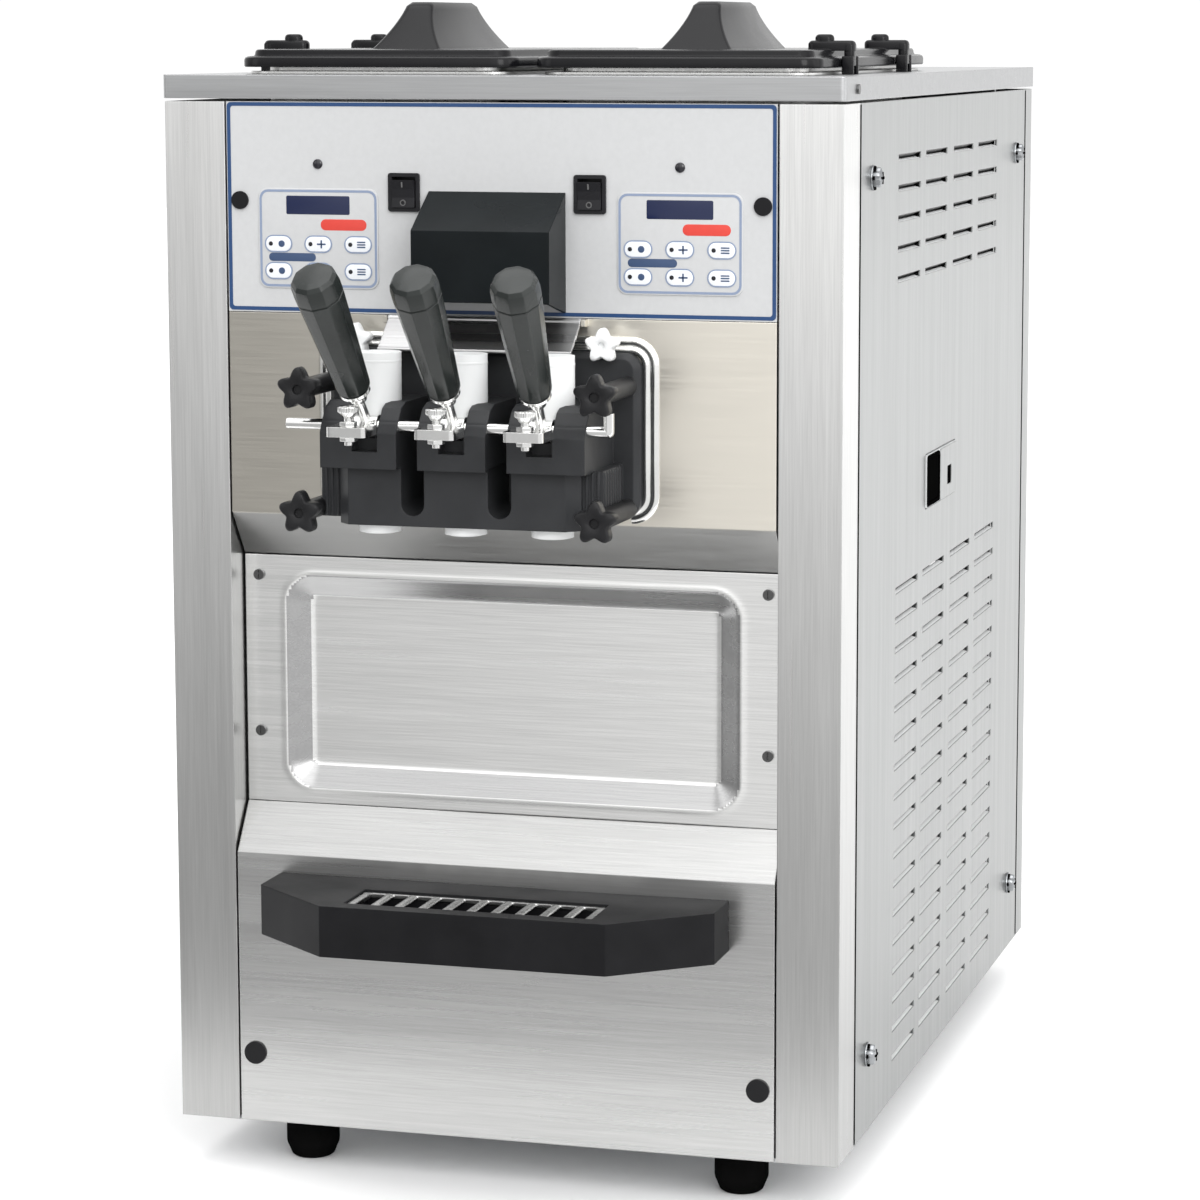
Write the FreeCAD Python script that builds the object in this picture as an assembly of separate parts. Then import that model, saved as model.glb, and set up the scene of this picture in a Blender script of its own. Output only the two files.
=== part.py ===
import FreeCAD, Part
import math
import os

os.makedirs("parts", exist_ok=True)

# Twin-flavour counter-top soft serve freezer, in millimetres.
# Modelling axes: x = 0 is the middle of the cabinet and +X is right seen from the front,
# y = 0 is the front plane and +Y runs to the back, z = 0 is the cabinet's underside.
# save() shifts everything so that z = 0 is the floor and y = 0 the middle of the overall box.

# Cabinet
CAB_W = 505.0
CAB_D = 750.0
CAB_TOP = 777.0
CAP_RIM = 17.0
CAP_LIP = 1.5
CAP_SCREW_Y = 35.0
CAP_SCREW_Z = 768.0
CAP_SCREW_R = 1.5
SHEET = 1.5
POST_W = 46.0
POST_SIDE = 52.0
REAR_POST = 32.0
FACE_HALF = 205.0
PLATE_T = 3.0

# Feet
FOOT_H = 38.0
FOOT_R = 20.0
FOOT_X = 168.0
FOOT_FRONT_Y = 52.0
FOOT_REAR_Y = 698.0

# Front face, from the bottom up
KICK_TOP = 205.0
SPLASH_Y = 24.0
SPLASH_Z0 = 240.0
SPLASH_Z1 = 426.0
HEAD_Z0 = 459.5
HEAD_Z1 = 606.0
FASCIA_Z1 = 758.0

# Dispensing head
HEAD_X = -8.0
VALVE_STEP = 64.0
VALVE_Y = -50.0
VALVE_R = 16.0
VALVE_Z0 = 465.0
VALVE_Z1 = 584.0
PIVOT_Y = -74.0
PIVOT_Z = 534.0
PIVOT_R = 4.0
DOOR_T = 12.0
DOOR_HALF = 116.0
DOOR_Z0 = 466.0
DOOR_Z1 = 583.0
STUD_X = 108.0
STUD_Z = (473.0, 560.0)
STUD_R = 4.0
RUN_FIT = 0.06

# Levers
GRIP_LEAN = 38.0
GRIP_SPLAY = 3.0
GRIP_FROM = 35.5
GRIP_TO = 140.5

# Freezing cylinders
CYL_X = 58.0
CYL_Z = 527.0
CYL_R = 41.0
CYL_WALL = 6.0
CYL_END = 250.0
BULKHEAD_Y = 262.0

# Hoppers and lids
HOPPER_X = (22.0, 206.0)
HOPPER_Y = (76.0, 430.0)
HOPPER_Z0 = 600.0
LID_X = (7.0, 220.0)
LID_Y = (60.0, 445.0)
LID_Z0 = 782.0
LID_Z1 = 795.0
LID_PIN_X = 225.0
LID_PIN_Z = 786.0
LID_PIN_R = 2.0
CLIP_Y = (140.0, 330.0)
LUG_STEP = 8.0
LID_GRIP_X = 112.0

# Drip tray and seal drip drawer
TRAY_Z0 = 154.0
TRAY_Z1 = 191.0
TRAY_HALF = 171.0
TRAY_NOSE = 106.0
TRAY_SIDE_Y = -40.0
TRAY_FRONT_Y = -93.0
PEG_X = 120.0
PEG_Z = 172.0
PEG_R = 4.0
GRID_HALF = 92.0
GRID_Y = (-79.0, -35.0)
GRID_SLOTS = 10
GRID_PITCH = 18.0
DRAWER_Y = (294.0, 411.0)
DRAWER_Z = (441.0, 482.0)
DRAWER_X0 = 40.0

# Cable gland on the rear panel
INLET_X = -150.0
INLET_Z = 70.0
INLET_R = 11.0

# Side panels, louvres and thumb bolts
SIDE_X = CAB_W / 2
PANEL_Y0 = POST_SIDE + 1
PANEL_Y1 = CAB_D - REAR_POST
PANEL_TOP = FASCIA_Z1
LOUVRE_COLUMNS = ((183.0, 266.0), (285.0, 370.0), (395.0, 478.0), (500.0, 585.0))
LOUVRE_PITCH = 22.5
LOUVRE_ROWS = ((718.0, 5), (394.0, 17))
LOUVRE_GAP = 5.0
BOLT_Y = (94.7, 675.5)
BOLT_Z = (58.7, 704.0)
BOLT_R = 4.0
BOLT_HEAD_R = 9.0

# Controls on the fascia, placed from its middle
KEYPAD_X = 135.0
KEYPAD = (91.6, 72.0)
KEYPAD_Z = 660.0
WINDOW = (48.6, 13.5)
WINDOW_Z = 684.0
LAMP_Z = 713.5
PLUG_X = 195.0
PLUG_Z = 687.0
LOW_PLUG_X = 193.0
LOW_PLUG_Z = 52.7
ROCKER_X = 69.3
ROCKER_Z = 694.0
ROCKER_SIZE = (23.6, 27.5)
ROCKER_TILT = 8.0
ROCKER_PIN_Y = 2.0
ROCKER_PIN_R = 1.2
KEY_STEP = 30.5
KEY_ROWS = (636.5, 656.0)
KEY_SIZE = (20.7, 12.0)

# Switch cover and paddle; the paddle's pin and front edge are given as (y, z)
COVER_HALF = 51.0
PADDLE_HALF = 72.0
PADDLE_PIN = (-5.0, 604.0)
PADDLE_EDGE = (-30.0, 583.0)

# Prime plugs and star knobs
PRIME_X = 92.0
PRIME_Z = 589.0
PRIME_R = 4.0
PRIME_FRONT = -26.0
PRIME_STEM = 36.0
STAR_T = 12.0

# Freezer door block, slots and levers
BODY_TOP = 505.0
BODY_Z0 = 463.0
SLOT_FLOOR = 516.0
SLOT_HALF = 9.4
SLOT_WALL = 524.5
LEVER_PULL = 50.0
TONGUE_REACH = 14.0
TONGUE_R = 3.5
BLOCK_FRONT = -82.0
KNOB_FRONT = -98.0
DOOR_BACK = -1.0
LOWER_HALF = 89.0
LOWER_FRONT = -72.0
SHOULDER_HALF = 104.0
SHOULDER_FRONT = -60.0
CHANNEL_R = 8.5
CHANNEL_Y = (-75.0, -24.0)
CHANNEL_FOOT = 479.0
NOZZLE_R = 9.0
HUB_R = 7.4
STEM_R = 7.0
GRIP_SIDES = 10

# Fan and its motor
FAN_X = 150.0
FAN_Y = 440.0
FAN_Z = 200.0
FAN_R = 120.0

# Overall box, used only to place the origin
FRONT_REACH = -172.87
BACK_REACH = CAB_D + CAP_LIP
SHIFT = FreeCAD.Vector(0, -(FRONT_REACH + BACK_REACH) / 2, FOOT_H)


def vec(x, y, z):
    return FreeCAD.Vector(x, y, z)


X_AXIS = vec(1, 0, 0)
Y_AXIS = vec(0, 1, 0)
Z_AXIS = vec(0, 0, 1)


def block(x0, x1, y0, y1, z0, z1):
    return Part.makeBox(x1 - x0, y1 - y0, z1 - z0, vec(x0, y0, z0))


def rod(radius, base, axis, length):
    return Part.makeCylinder(radius, length, vec(*base), axis)


def pipe(outer, inner, base, axis, length):
    return rod(outer, base, axis, length).cut(rod(inner, base, axis, length))


def prism(corners, axis, low, high):
    """Extrude an outline along an axis; its corners are given in the other two axes, in order."""
    place = {
        "x": lambda a, b: vec(low, a, b),
        "y": lambda a, b: vec(a, low, b),
        "z": lambda a, b: vec(a, b, low),
    }[axis]
    wire = Part.makePolygon([place(a, b) for a, b in corners + corners[:1]])
    along = {"x": X_AXIS, "y": Y_AXIS, "z": Z_AXIS}[axis]
    return Part.Face(wire).extrude(along * (high - low))


def round_edges(shape, radius, axis):
    """Round the straight edges that run along one axis."""
    edges = []
    for edge in shape.Edges:
        if edge.Curve.TypeId == "Part::GeomLine" and edge.Curve.Direction.cross(axis).Length < 1e-6:
            edges.append(edge)
    return shape.makeFillet(radius, edges)


def bevel_face(shape, size, axis, level):
    """Chamfer every edge that lies on the plane where axis . point = level."""
    edges = []
    for edge in shape.Edges:
        if all(abs(v.Point.dot(axis) - level) < 1e-6 for v in edge.Vertexes):
            if abs(edge.CenterOfMass.dot(axis) - level) < 1e-6:
                edges.append(edge)
    return shape.makeChamfer(size, edges)


def cut_all(shape, tools):
    return shape.cut(Part.makeCompound(tools))


def fuse_all(shapes):
    return shapes[0].multiFuse(shapes[1:]).removeSplitter()


def mirrored(shape):
    return shape.mirror(vec(0, 0, 0), X_AXIS)


def spun(shape, base, axis, degrees):
    copy = shape.copy()
    copy.rotate(vec(*base), axis, degrees)
    return copy


def save(name, *shapes):
    """Write one node; several separate solids make a group."""
    whole = shapes[0].copy() if len(shapes) == 1 else Part.makeCompound([s.copy() for s in shapes])
    whole.translate(SHIFT)
    if not whole.isValid():
        raise ValueError("not a valid shape: " + name)
    whole.exportStep("parts/" + name + ".step")


# ---------------------------------------------------------------- cabinet


def louvre_slots(x0, x1):
    slots = []
    for y0, y1 in LOUVRE_COLUMNS:
        for top, rows in LOUVRE_ROWS:
            for row in range(rows):
                z1 = top - row * LOUVRE_PITCH
                slots.append(block(x0, x1, y0, y1, z1 - LOUVRE_GAP, z1))
    return slots


def side_panel():
    """Right-hand panel with its louvre slots and bolt holes."""
    x0 = SIDE_X - SHEET
    panel = block(x0, SIDE_X, PANEL_Y0, PANEL_Y1, 0.5, PANEL_TOP)
    holes = louvre_slots(x0 - 1, SIDE_X + 1)
    for y in BOLT_Y:
        for z in BOLT_Z:
            holes.append(rod(BOLT_R, (x0 - 1, y, z), X_AXIS, 4))
    return cut_all(panel, holes)


def drawer_cutout():
    return block(
        SIDE_X - 10, SIDE_X + 1, DRAWER_Y[0] - 1, DRAWER_Y[1] + 1, DRAWER_Z[0] - 1, DRAWER_Z[1] + 1
    )


def side_bolts():
    """Thumb bolts: round head on the panel, shank through it."""
    bolts = []
    for side in (-1, 1):
        out = X_AXIS * side
        for y in BOLT_Y:
            for z in BOLT_Z:
                head = rod(BOLT_HEAD_R, (side * SIDE_X, y, z), out, 6)
                crown = rod(BOLT_HEAD_R - 3, (side * (SIDE_X + 6), y, z), out, 2)
                shank = rod(BOLT_R, (side * (SIDE_X - 12), y, z), out, 12)
                bolts.append(fuse_all([head, crown, shank]))
    return bolts


def front_post():
    """Right-hand bent corner post: front face, side flange and inner return."""
    inner = SIDE_X - POST_W
    return fuse_all([
        block(inner, SIDE_X, 0, SHEET, 0.5, PANEL_TOP),
        block(SIDE_X - SHEET, SIDE_X, 0, POST_SIDE, 0.5, PANEL_TOP),
        block(inner, inner + SHEET, 0, SPLASH_Y + 8, PLATE_T, PANEL_TOP),
    ])


def rear_post():
    return fuse_all([
        block(SIDE_X - SHEET, SIDE_X, PANEL_Y1 + 1, CAB_D, 0.5, PANEL_TOP),
        block(SIDE_X - REAR_POST, SIDE_X, CAB_D - SHEET, CAB_D, 0.5, PANEL_TOP),
    ])


def rear_panel():
    """Rear panel between the rear posts, with two banks of slots and the inlet hole."""
    half = SIDE_X - REAR_POST - 0.5
    panel = block(-half, half, CAB_D - SHEET, CAB_D, 0.5, PANEL_TOP)
    holes = [rod(INLET_R, (INLET_X, CAB_D - 5, INLET_Z), Y_AXIS, 10)]
    for x0 in (-170.0, 20.0):
        for row in range(12):
            z0 = 150.0 + row * LOUVRE_PITCH
            holes.append(block(x0, x0 + 150, CAB_D - 5, CAB_D + 5, z0, z0 + LOUVRE_GAP))
    return cut_all(panel, holes)


def power_inlet():
    """Cable gland: nut outside, body through the rear panel, locknut inside."""
    inside = CAB_D - 14
    body = rod(INLET_R, (INLET_X, inside, INLET_Z), Y_AXIS, BACK_REACH - inside)
    outer = rod(INLET_R + 5, (INLET_X, CAB_D, INLET_Z), Y_AXIS, CAP_LIP)
    inner = rod(INLET_R + 4, (INLET_X, CAB_D - SHEET - 5, INLET_Z), Y_AXIS, 5)
    bore = rod(5.0, (INLET_X, inside - 6, INLET_Z), Y_AXIS, 40)
    return fuse_all([body, outer, inner]).cut(bore)


def base_pan():
    """Tray that closes the underside, with upturned edges and foot holes."""
    half = SIDE_X - 2
    floor = block(-half, half, SHEET + 0.5, CAB_D - SHEET - 0.5, 0, PLATE_T)
    front = block(-FACE_HALF, FACE_HALF, SHEET + 0.5, SHEET + 2.5, PLATE_T, 28)
    back = block(-FACE_HALF, FACE_HALF, CAB_D - SHEET - 2.5, CAB_D - SHEET - 0.5, PLATE_T, 28)
    sides = [
        block(half - 2, half, POST_SIDE, PANEL_Y1, PLATE_T, 28),
        block(-half, 2 - half, POST_SIDE, PANEL_Y1, PLATE_T, 28),
    ]
    holes = [rod(5.0, (x, y, -1), Z_AXIS, 6) for x, y in foot_places()]
    return cut_all(fuse_all([floor, front, back] + sides), holes)


def foot_places():
    return [(x, y) for x in (-FOOT_X, FOOT_X) for y in (FOOT_FRONT_Y, FOOT_REAR_Y)]


def rubber_feet():
    """Bevelled feet with a stud up through the base pan."""
    feet = []
    for x, y in foot_places():
        lower = Part.makeCone(FOOT_R - 4, FOOT_R - 1, 8, vec(x, y, -FOOT_H))
        upper = Part.makeCone(FOOT_R - 1, FOOT_R, FOOT_H - 8, vec(x, y, 8 - FOOT_H))
        stud = rod(5.0, (x, y, 0), Z_AXIS, PLATE_T + 9)
        feet.append(fuse_all([lower, upper, stud]))
    return feet


def top_deck():
    """Rimmed cap with two hopper cut-outs, and two hinge pins in lugs beside each of them."""
    out_x = SIDE_X + CAP_LIP
    cap = block(-out_x, out_x, -CAP_LIP, CAB_D + CAP_LIP, CAB_TOP - CAP_RIM, CAB_TOP)
    cap = round_edges(cap, 4.0, Z_AXIS)
    cap = cap.cut(
        block(-SIDE_X, SIDE_X, 0, CAB_D, CAB_TOP - CAP_RIM - 1, CAB_TOP - 2)
    )
    solids = [cap]
    for side in (-1, 1):
        for y in CLIP_Y:
            for lug_y in (y - LUG_STEP, y + LUG_STEP):
                x0 = side * LID_PIN_X - 3
                solids.append(block(x0, x0 + 6, lug_y - 1, lug_y + 1, CAB_TOP, LID_PIN_Z + 3))
            solids.append(rod(LID_PIN_R, (side * LID_PIN_X, y - LUG_STEP, LID_PIN_Z), Y_AXIS, 2 * LUG_STEP))
    deck = fuse_all(solids)
    cuts = []
    for side in (-1, 1):
        hole = block(
            HOPPER_X[0] - 0.5, HOPPER_X[1] + 0.5, HOPPER_Y[0] - 0.5, HOPPER_Y[1] + 0.5,
            CAB_TOP - 5, CAB_TOP + 1,
        )
        cuts.append(hole if side > 0 else mirrored(hole))
        cuts.append(rod(CAP_SCREW_R, (side * (SIDE_X - 1), CAP_SCREW_Y, CAP_SCREW_Z), X_AXIS * side, 4))
    return cut_all(deck, cuts)


def hopper(side):
    """Mix hopper: deep pan, collar above the deck, flange and feed tube down to its cylinder."""
    x0, x1 = HOPPER_X
    y0, y1 = HOPPER_Y
    pan = round_edges(block(x0, x1, y0, y1, HOPPER_Z0, LID_Z0 + 6), 18.0, Z_AXIS)
    flange = block(x0 - 11, x1 + 11, y0 - 12, y1 + 12, CAB_TOP, CAB_TOP + 2)
    flange = round_edges(flange, 20.0, Z_AXIS)
    inside = round_edges(
        block(x0 + 2, x1 - 2, y0 + 2, y1 - 2, HOPPER_Z0 + 2, LID_Z0 + 8), 16.0, Z_AXIS
    )
    shell = fuse_all([pan, flange]).cut(inside)
    if side < 0:
        shell = mirrored(shell)
    feed_x = HEAD_X + side * CYL_X
    foot_z = CYL_Z + CYL_R + CYL_WALL + 1
    tube = rod(12.0, (feed_x, 150, foot_z), Z_AXIS, HOPPER_Z0 + 1 - foot_z)
    bore = rod(9.0, (feed_x, 150, foot_z - 1), Z_AXIS, HOPPER_Z0 + 5 - foot_z)
    return fuse_all([shell, tube]).cut(bore)


def lid():
    """Right-hand lid: skirted two-step shell, moulded handle and two hinge clips on its pins."""
    x0, x1 = LID_X
    y0, y1 = LID_Y

    def step(inset, z0, z1, corner):
        return round_edges(block(x0 + inset, x1 - inset, y0 + inset, y1 - inset, z0, z1), corner, Z_AXIS)

    lower = step(0, LID_Z0, LID_Z1 - 5, 16.0)
    upper = step(7, LID_Z1 - 5, LID_Z1, 12.0)
    inside = step(3, LID_Z0 - 1, LID_Z1 - 7, 13.0)
    roof = step(10, LID_Z1 - 8, LID_Z1 - 3, 9.0)
    ridge = prism(
        [(125.0, LID_Z1), (300.0, LID_Z1), (265.0, LID_Z1 + 35), (160.0, LID_Z1 + 35)],
        "x", LID_GRIP_X - 11, LID_GRIP_X + 11,
    )
    foot = [(LID_GRIP_X + dx, LID_Z1 + dz) for dx, dz in ((-26, 0), (26, 0), (8, 12), (-8, 12))]
    flare = prism(foot, "y", 128.0, 297.0)
    solids = [lower, upper, ridge, flare]
    for y in CLIP_Y:
        strap = block(193.0, LID_PIN_X + 1, y - 6, y + 6, LID_Z1 - 1, LID_Z1 + 4)
        drop = block(LID_PIN_X - 4, LID_PIN_X + 4, y - 6, y + 6, LID_PIN_Z, LID_Z1 + 4)
        knuckle = rod(4.0, (LID_PIN_X, y - 6, LID_PIN_Z), Y_AXIS, 12)
        solids += [strap, drop, knuckle]
    shell = fuse_all(solids).cut(inside).cut(roof)
    bores = [rod(LID_PIN_R + RUN_FIT, (LID_PIN_X, y - 7, LID_PIN_Z), Y_AXIS, 14) for y in CLIP_Y]
    return cut_all(shell, bores)


# ---------------------------------------------------------------- front face and controls


def control_fascia():
    """Flat switch panel with openings for the rockers, windows, lamps and plugs."""
    panel = block(-FACE_HALF, FACE_HALF, 0, SHEET, HEAD_Z1 + 0.5, PANEL_TOP)
    cuts = []
    for side in (-1, 1):
        x = side * ROCKER_X
        cuts.append(block(x - 10.1, x + 10.1, -1, 3, ROCKER_Z - 12.1, ROCKER_Z + 12.1))
        x = side * KEYPAD_X
        cuts.append(block(x - 22, x + 22, -1, 3, WINDOW_Z - 5, WINDOW_Z + 5))
        cuts.append(rod(3.0, (x, -1, LAMP_Z), Y_AXIS, 4))
        cuts.append(rod(5.0, (side * PLUG_X, -1, PLUG_Z), Y_AXIS, 4))
    return cut_all(panel, cuts)


def keypad(side):
    """Membrane overlay with raised key domes and a window opening."""
    x = side * KEYPAD_X
    w, h = KEYPAD
    sheet = block(x - w / 2, x + w / 2, -1.0, 0, KEYPAD_Z - h / 2, KEYPAD_Z + h / 2)
    sheet = round_edges(sheet, 8.0, Y_AXIS)
    key_w, key_h = KEY_SIZE
    keys = []
    for z in KEY_ROWS:
        for step in (-1, 0, 1):
            left = x + step * KEY_STEP - key_w / 2
            key = block(left, left + key_w, -1.6, -0.5, z - key_h / 2, z + key_h / 2)
            keys.append(round_edges(key, 5.0, Y_AXIS))
    return fuse_all([sheet] + keys).cut(window_block(x, -2, 1))


def window_block(x, y0, y1):
    w, h = WINDOW
    return block(x - w / 2, x + w / 2, y0, y1, WINDOW_Z - h / 2, WINDOW_Z + h / 2)


def display_lenses():
    """Window lens and round lamp lens for each side."""
    lenses = []
    for side in (-1, 1):
        x = side * KEYPAD_X
        face = window_block(x, -0.8, 0)
        core = block(x - 22, x + 22, 0, 8, WINDOW_Z - 5, WINDOW_Z + 5)
        lenses.append(fuse_all([face, core]))
        lamp = rod(3.5, (x, -1.2, LAMP_Z), Y_AXIS, 1.2)
        lenses.append(fuse_all([lamp, rod(3.0, (x, 0, LAMP_Z), Y_AXIS, 9)]))
    return lenses


def snap_plug(x, y, z, head, hole):
    return fuse_all([rod(head, (x, y - 1.6, z), Y_AXIS, 1.6), rod(hole, (x, y, z), Y_AXIS, 5)])


def hole_plugs():
    plugs = []
    for side in (-1, 1):
        plugs.append(snap_plug(side * PLUG_X, 0, PLUG_Z, 6.5, 5.0))
        plugs.append(snap_plug(side * LOW_PLUG_X, 0, LOW_PLUG_Z, 8.5, 6.0))
    return plugs


def rocker_bezel(side):
    """Switch housing: rim on the fascia, body behind it, pocket and pin holes for the key."""
    x = side * ROCKER_X
    w, h = ROCKER_SIZE
    frame = block(x - w / 2, x + w / 2, -2, 0, ROCKER_Z - h / 2, ROCKER_Z + h / 2)
    frame = round_edges(frame, 2.0, Y_AXIS)
    body = block(x - 10, x + 10, 0, 20, ROCKER_Z - 12, ROCKER_Z + 12)
    pocket = block(x - 9, x + 9, -3, 12, ROCKER_Z - 11, ROCKER_Z + 11)
    bore = rod(ROCKER_PIN_R + RUN_FIT, (x - 11, ROCKER_PIN_Y, ROCKER_Z), X_AXIS, 22)
    return cut_all(fuse_all([frame, body]), [pocket, bore])


def rocker(side):
    """Rocker key with a dished front and a pivot pin, built tipped to its off position."""
    x = side * ROCKER_X
    outline = [(3, -8), (-5.2, -10), (-3.4, -3), (-3.4, 3), (-5.2, 10), (3, 8)]
    key = prism([(y, z + ROCKER_Z) for y, z in outline], "x", x - 8.6, x + 8.6)
    pin = rod(ROCKER_PIN_R, (x - 9.8, ROCKER_PIN_Y, ROCKER_Z), X_AXIS, 19.6)
    return spun(fuse_all([key, pin]), (x, ROCKER_PIN_Y, ROCKER_Z), X_AXIS, ROCKER_TILT)


def switch_cover():
    """Hood over the paddle switch, open underneath."""
    outer = prism([(0, 695), (-40, 669), (-40, 619), (0, 610)], "x", -COVER_HALF, COVER_HALF)
    inner = prism(
        [(1, 691.5), (-37.5, 667), (-37.5, 600), (1, 600)], "x", 2.5 - COVER_HALF, COVER_HALF - 2.5
    )
    return outer.cut(inner)


def paddle_slope():
    run = PADDLE_EDGE[0] - PADDLE_PIN[0]
    rise = PADDLE_EDGE[1] - PADDLE_PIN[1]
    return run, rise, math.hypot(run, rise)


def switch_paddle():
    """Sloping plate that hangs from a pin along its top edge, with a stiffened front edge."""
    run, rise, length = paddle_slope()
    dy, dz = SHEET * rise / length, -SHEET * run / length
    y0, z0 = PADDLE_PIN
    y1, z1 = PADDLE_EDGE
    x0, x1 = HEAD_X - PADDLE_HALF, HEAD_X + PADDLE_HALF
    plate = prism([(y0, z0), (y1, z1), (y1 + dy, z1 + dz), (y0 + dy, z0 + dz)], "x", x0, x1)
    sleeve = rod(2.8, (x0, y0, z0), X_AXIS, x1 - x0)
    edge = rod(1.5, (x0, y1 + 0.6, z1 + 1.0), X_AXIS, x1 - x0)
    bore = rod(1.5 + RUN_FIT, (x0 - 1, y0, z0), X_AXIS, x1 - x0 + 2)
    return fuse_all([plate, sleeve, edge]).cut(bore)


def head_plate():
    """Head panel folded inwards at its foot, with cylinder mouths and lugs for the paddle pin."""
    upright = block(-FACE_HALF, FACE_HALF, 0, SHEET, HEAD_Z0, HEAD_Z1)
    fold = prism(
        [(0, HEAD_Z0), (SPLASH_Y, SPLASH_Z1), (SPLASH_Y + SHEET, SPLASH_Z1 + 1), (SHEET, HEAD_Z0 + 1)],
        "x", -FACE_HALF, FACE_HALF,
    )
    plate = fuse_all([upright, fold])
    y, z = PADDLE_PIN
    lugs = []
    for x in (HEAD_X - PADDLE_HALF - 3.5, HEAD_X + PADDLE_HALF + 0.5):
        lugs.append(block(x, x + 3, y - 3, 0, z - 3, z + 2))
    pin_x = HEAD_X - PADDLE_HALF - 3.5
    lugs.append(rod(1.5, (pin_x, y, z), X_AXIS, 2 * PADDLE_HALF + 7))
    cuts = [rod(CYL_R + CYL_WALL, (HEAD_X + s * CYL_X, -1, CYL_Z), Y_AXIS, 4) for s in (-1, 1)]
    for side in (-1, 1):
        cuts.append(rod(PRIME_R + 0.1, (HEAD_X + side * PRIME_X, -1, PRIME_Z), Y_AXIS, 4))
        for z in STUD_Z:
            cuts.append(rod(STUD_R, (HEAD_X + side * STUD_X, -1, z), Y_AXIS, 4))
    return fuse_all([cut_all(plate, cuts)] + lugs)


def door_surround():
    """Raised bright strip round the top and sides of the freezer door."""
    outer = block(HEAD_X - 128, HEAD_X + 128, -3, 0, 464, 593.4)
    outer = outer.makeFillet(17.0, [e for e in outer.Edges if is_top_corner(e, 593.4)])
    inner = block(HEAD_X - 118, HEAD_X + 118, -4, 1, 460, 584.5)
    inner = inner.makeFillet(10.0, [e for e in inner.Edges if is_top_corner(e, 584.5)])
    holes = [rod(PRIME_R + 0.1, (HEAD_X + s * PRIME_X, -5, PRIME_Z), Y_AXIS, 6) for s in (-1, 1)]
    return cut_all(outer, [inner] + holes)


def is_top_corner(edge, top):
    middle = edge.CenterOfMass
    ends = edge.Vertexes
    span = ends[0].Point - ends[1].Point
    return abs(span.x) < 1e-6 and abs(span.z) < 1e-6 and abs(middle.z - top) < 1e-6


def prime_plug(side):
    """Five-lobed knob on a stem that draws straight forward."""
    x = HEAD_X + side * PRIME_X
    star = star_plate((x, PRIME_FRONT, PRIME_Z), STAR_T, STAR_T)
    return fuse_all([star, rod(PRIME_R, (x, PRIME_FRONT + STAR_T, PRIME_Z), Y_AXIS, PRIME_STEM)])


def star_plate(base, reach, depth):
    """Five round lobes about a hub, extruded along +Y."""
    x, y, z = base
    lobe = reach * 0.3
    arm = reach - lobe
    solids = [rod(arm * 0.95, base, Y_AXIS, depth)]
    for index in range(5):
        turn = math.radians(90 + 72 * index)
        place = (x + arm * math.cos(turn), y, z + arm * math.sin(turn))
        solids.append(rod(lobe, place, Y_AXIS, depth))
    return fuse_all(solids)


def splash_panel():
    """Recessed panel with a large shallow pressing and four screw holes."""
    y = SPLASH_Y
    flat = block(-FACE_HALF, FACE_HALF, y, y + SHEET, SPLASH_Z0, SPLASH_Z1 - 1)
    back = pressing(y, y + 9 + SHEET, SHEET)
    front = pressing(y - 0.01, y + 9, 0)
    holes = [rod(2.0, (x, y - 1, z), Y_AXIS, 4) for x, z in splash_screw_places()]
    return cut_all(fuse_all([flat, back]), [front] + holes)


def pressing(y0, y1, grow):
    """Tapered pocket volume between the outer outline at y0 and the inner outline at y1."""
    outer = rectangle(172 + grow, 252 - grow, 410 + grow, y0)
    inner = rectangle(154 + grow, 265 - grow, 398 + grow, y1)
    return Part.makeLoft([outer, inner], True, True)


def rectangle(half, z0, z1, y):
    corners = [vec(-half, y, z0), vec(half, y, z0), vec(half, y, z1), vec(-half, y, z1)]
    return Part.makePolygon(corners + corners[:1])


def splash_screw_places():
    return [(x, z) for x in (-194.0, 194.0) for z in (293.0, 410.0)]


def front_panel_screws():
    """Four slotted screws in the splash panel and one in each side of the cap's rim."""
    screws = []
    for x, z in splash_screw_places():
        screws.append(round_screw(x, SPLASH_Y, z, Y_AXIS))
    for side in (-1, 1):
        base = (side * (SIDE_X + CAP_LIP), CAP_SCREW_Y, CAP_SCREW_Z)
        head = rod(3.5, base, X_AXIS * side, 1.6)
        screws.append(fuse_all([head, rod(CAP_SCREW_R, base, X_AXIS * -side, 8)]))
    return screws


def round_screw(x, y, z, axis):
    head = rod(4.0, (x, y - 2.2, z), axis, 2.2)
    slot = block(x - 0.5, x + 0.5, y - 3, y - 1.2, z - 3, z + 3)
    return fuse_all([head, rod(2.0, (x, y, z), axis, 9)]).cut(slot)


def lower_front_panel():
    """Kick panel with its sloped ledge and the two pegs that carry the drip tray."""
    top_z = SPLASH_Z0 - 0.5
    top_y = SPLASH_Y - 0.3
    outline = [
        (0, 0.5), (0, KICK_TOP), (top_y, top_z), (top_y + SHEET, top_z),
        (SHEET, KICK_TOP - 1), (SHEET, 0.5),
    ]
    sheet = prism(outline, "x", -FACE_HALF, FACE_HALF)
    holes = [rod(6.0, (s * LOW_PLUG_X, -1, LOW_PLUG_Z), Y_AXIS, 4) for s in (-1, 1)]
    pegs = [rod(PEG_R, (x, -26, PEG_Z), Y_AXIS, 26 + SHEET) for x in (-PEG_X, PEG_X)]
    return fuse_all([cut_all(sheet, holes)] + pegs)


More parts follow.
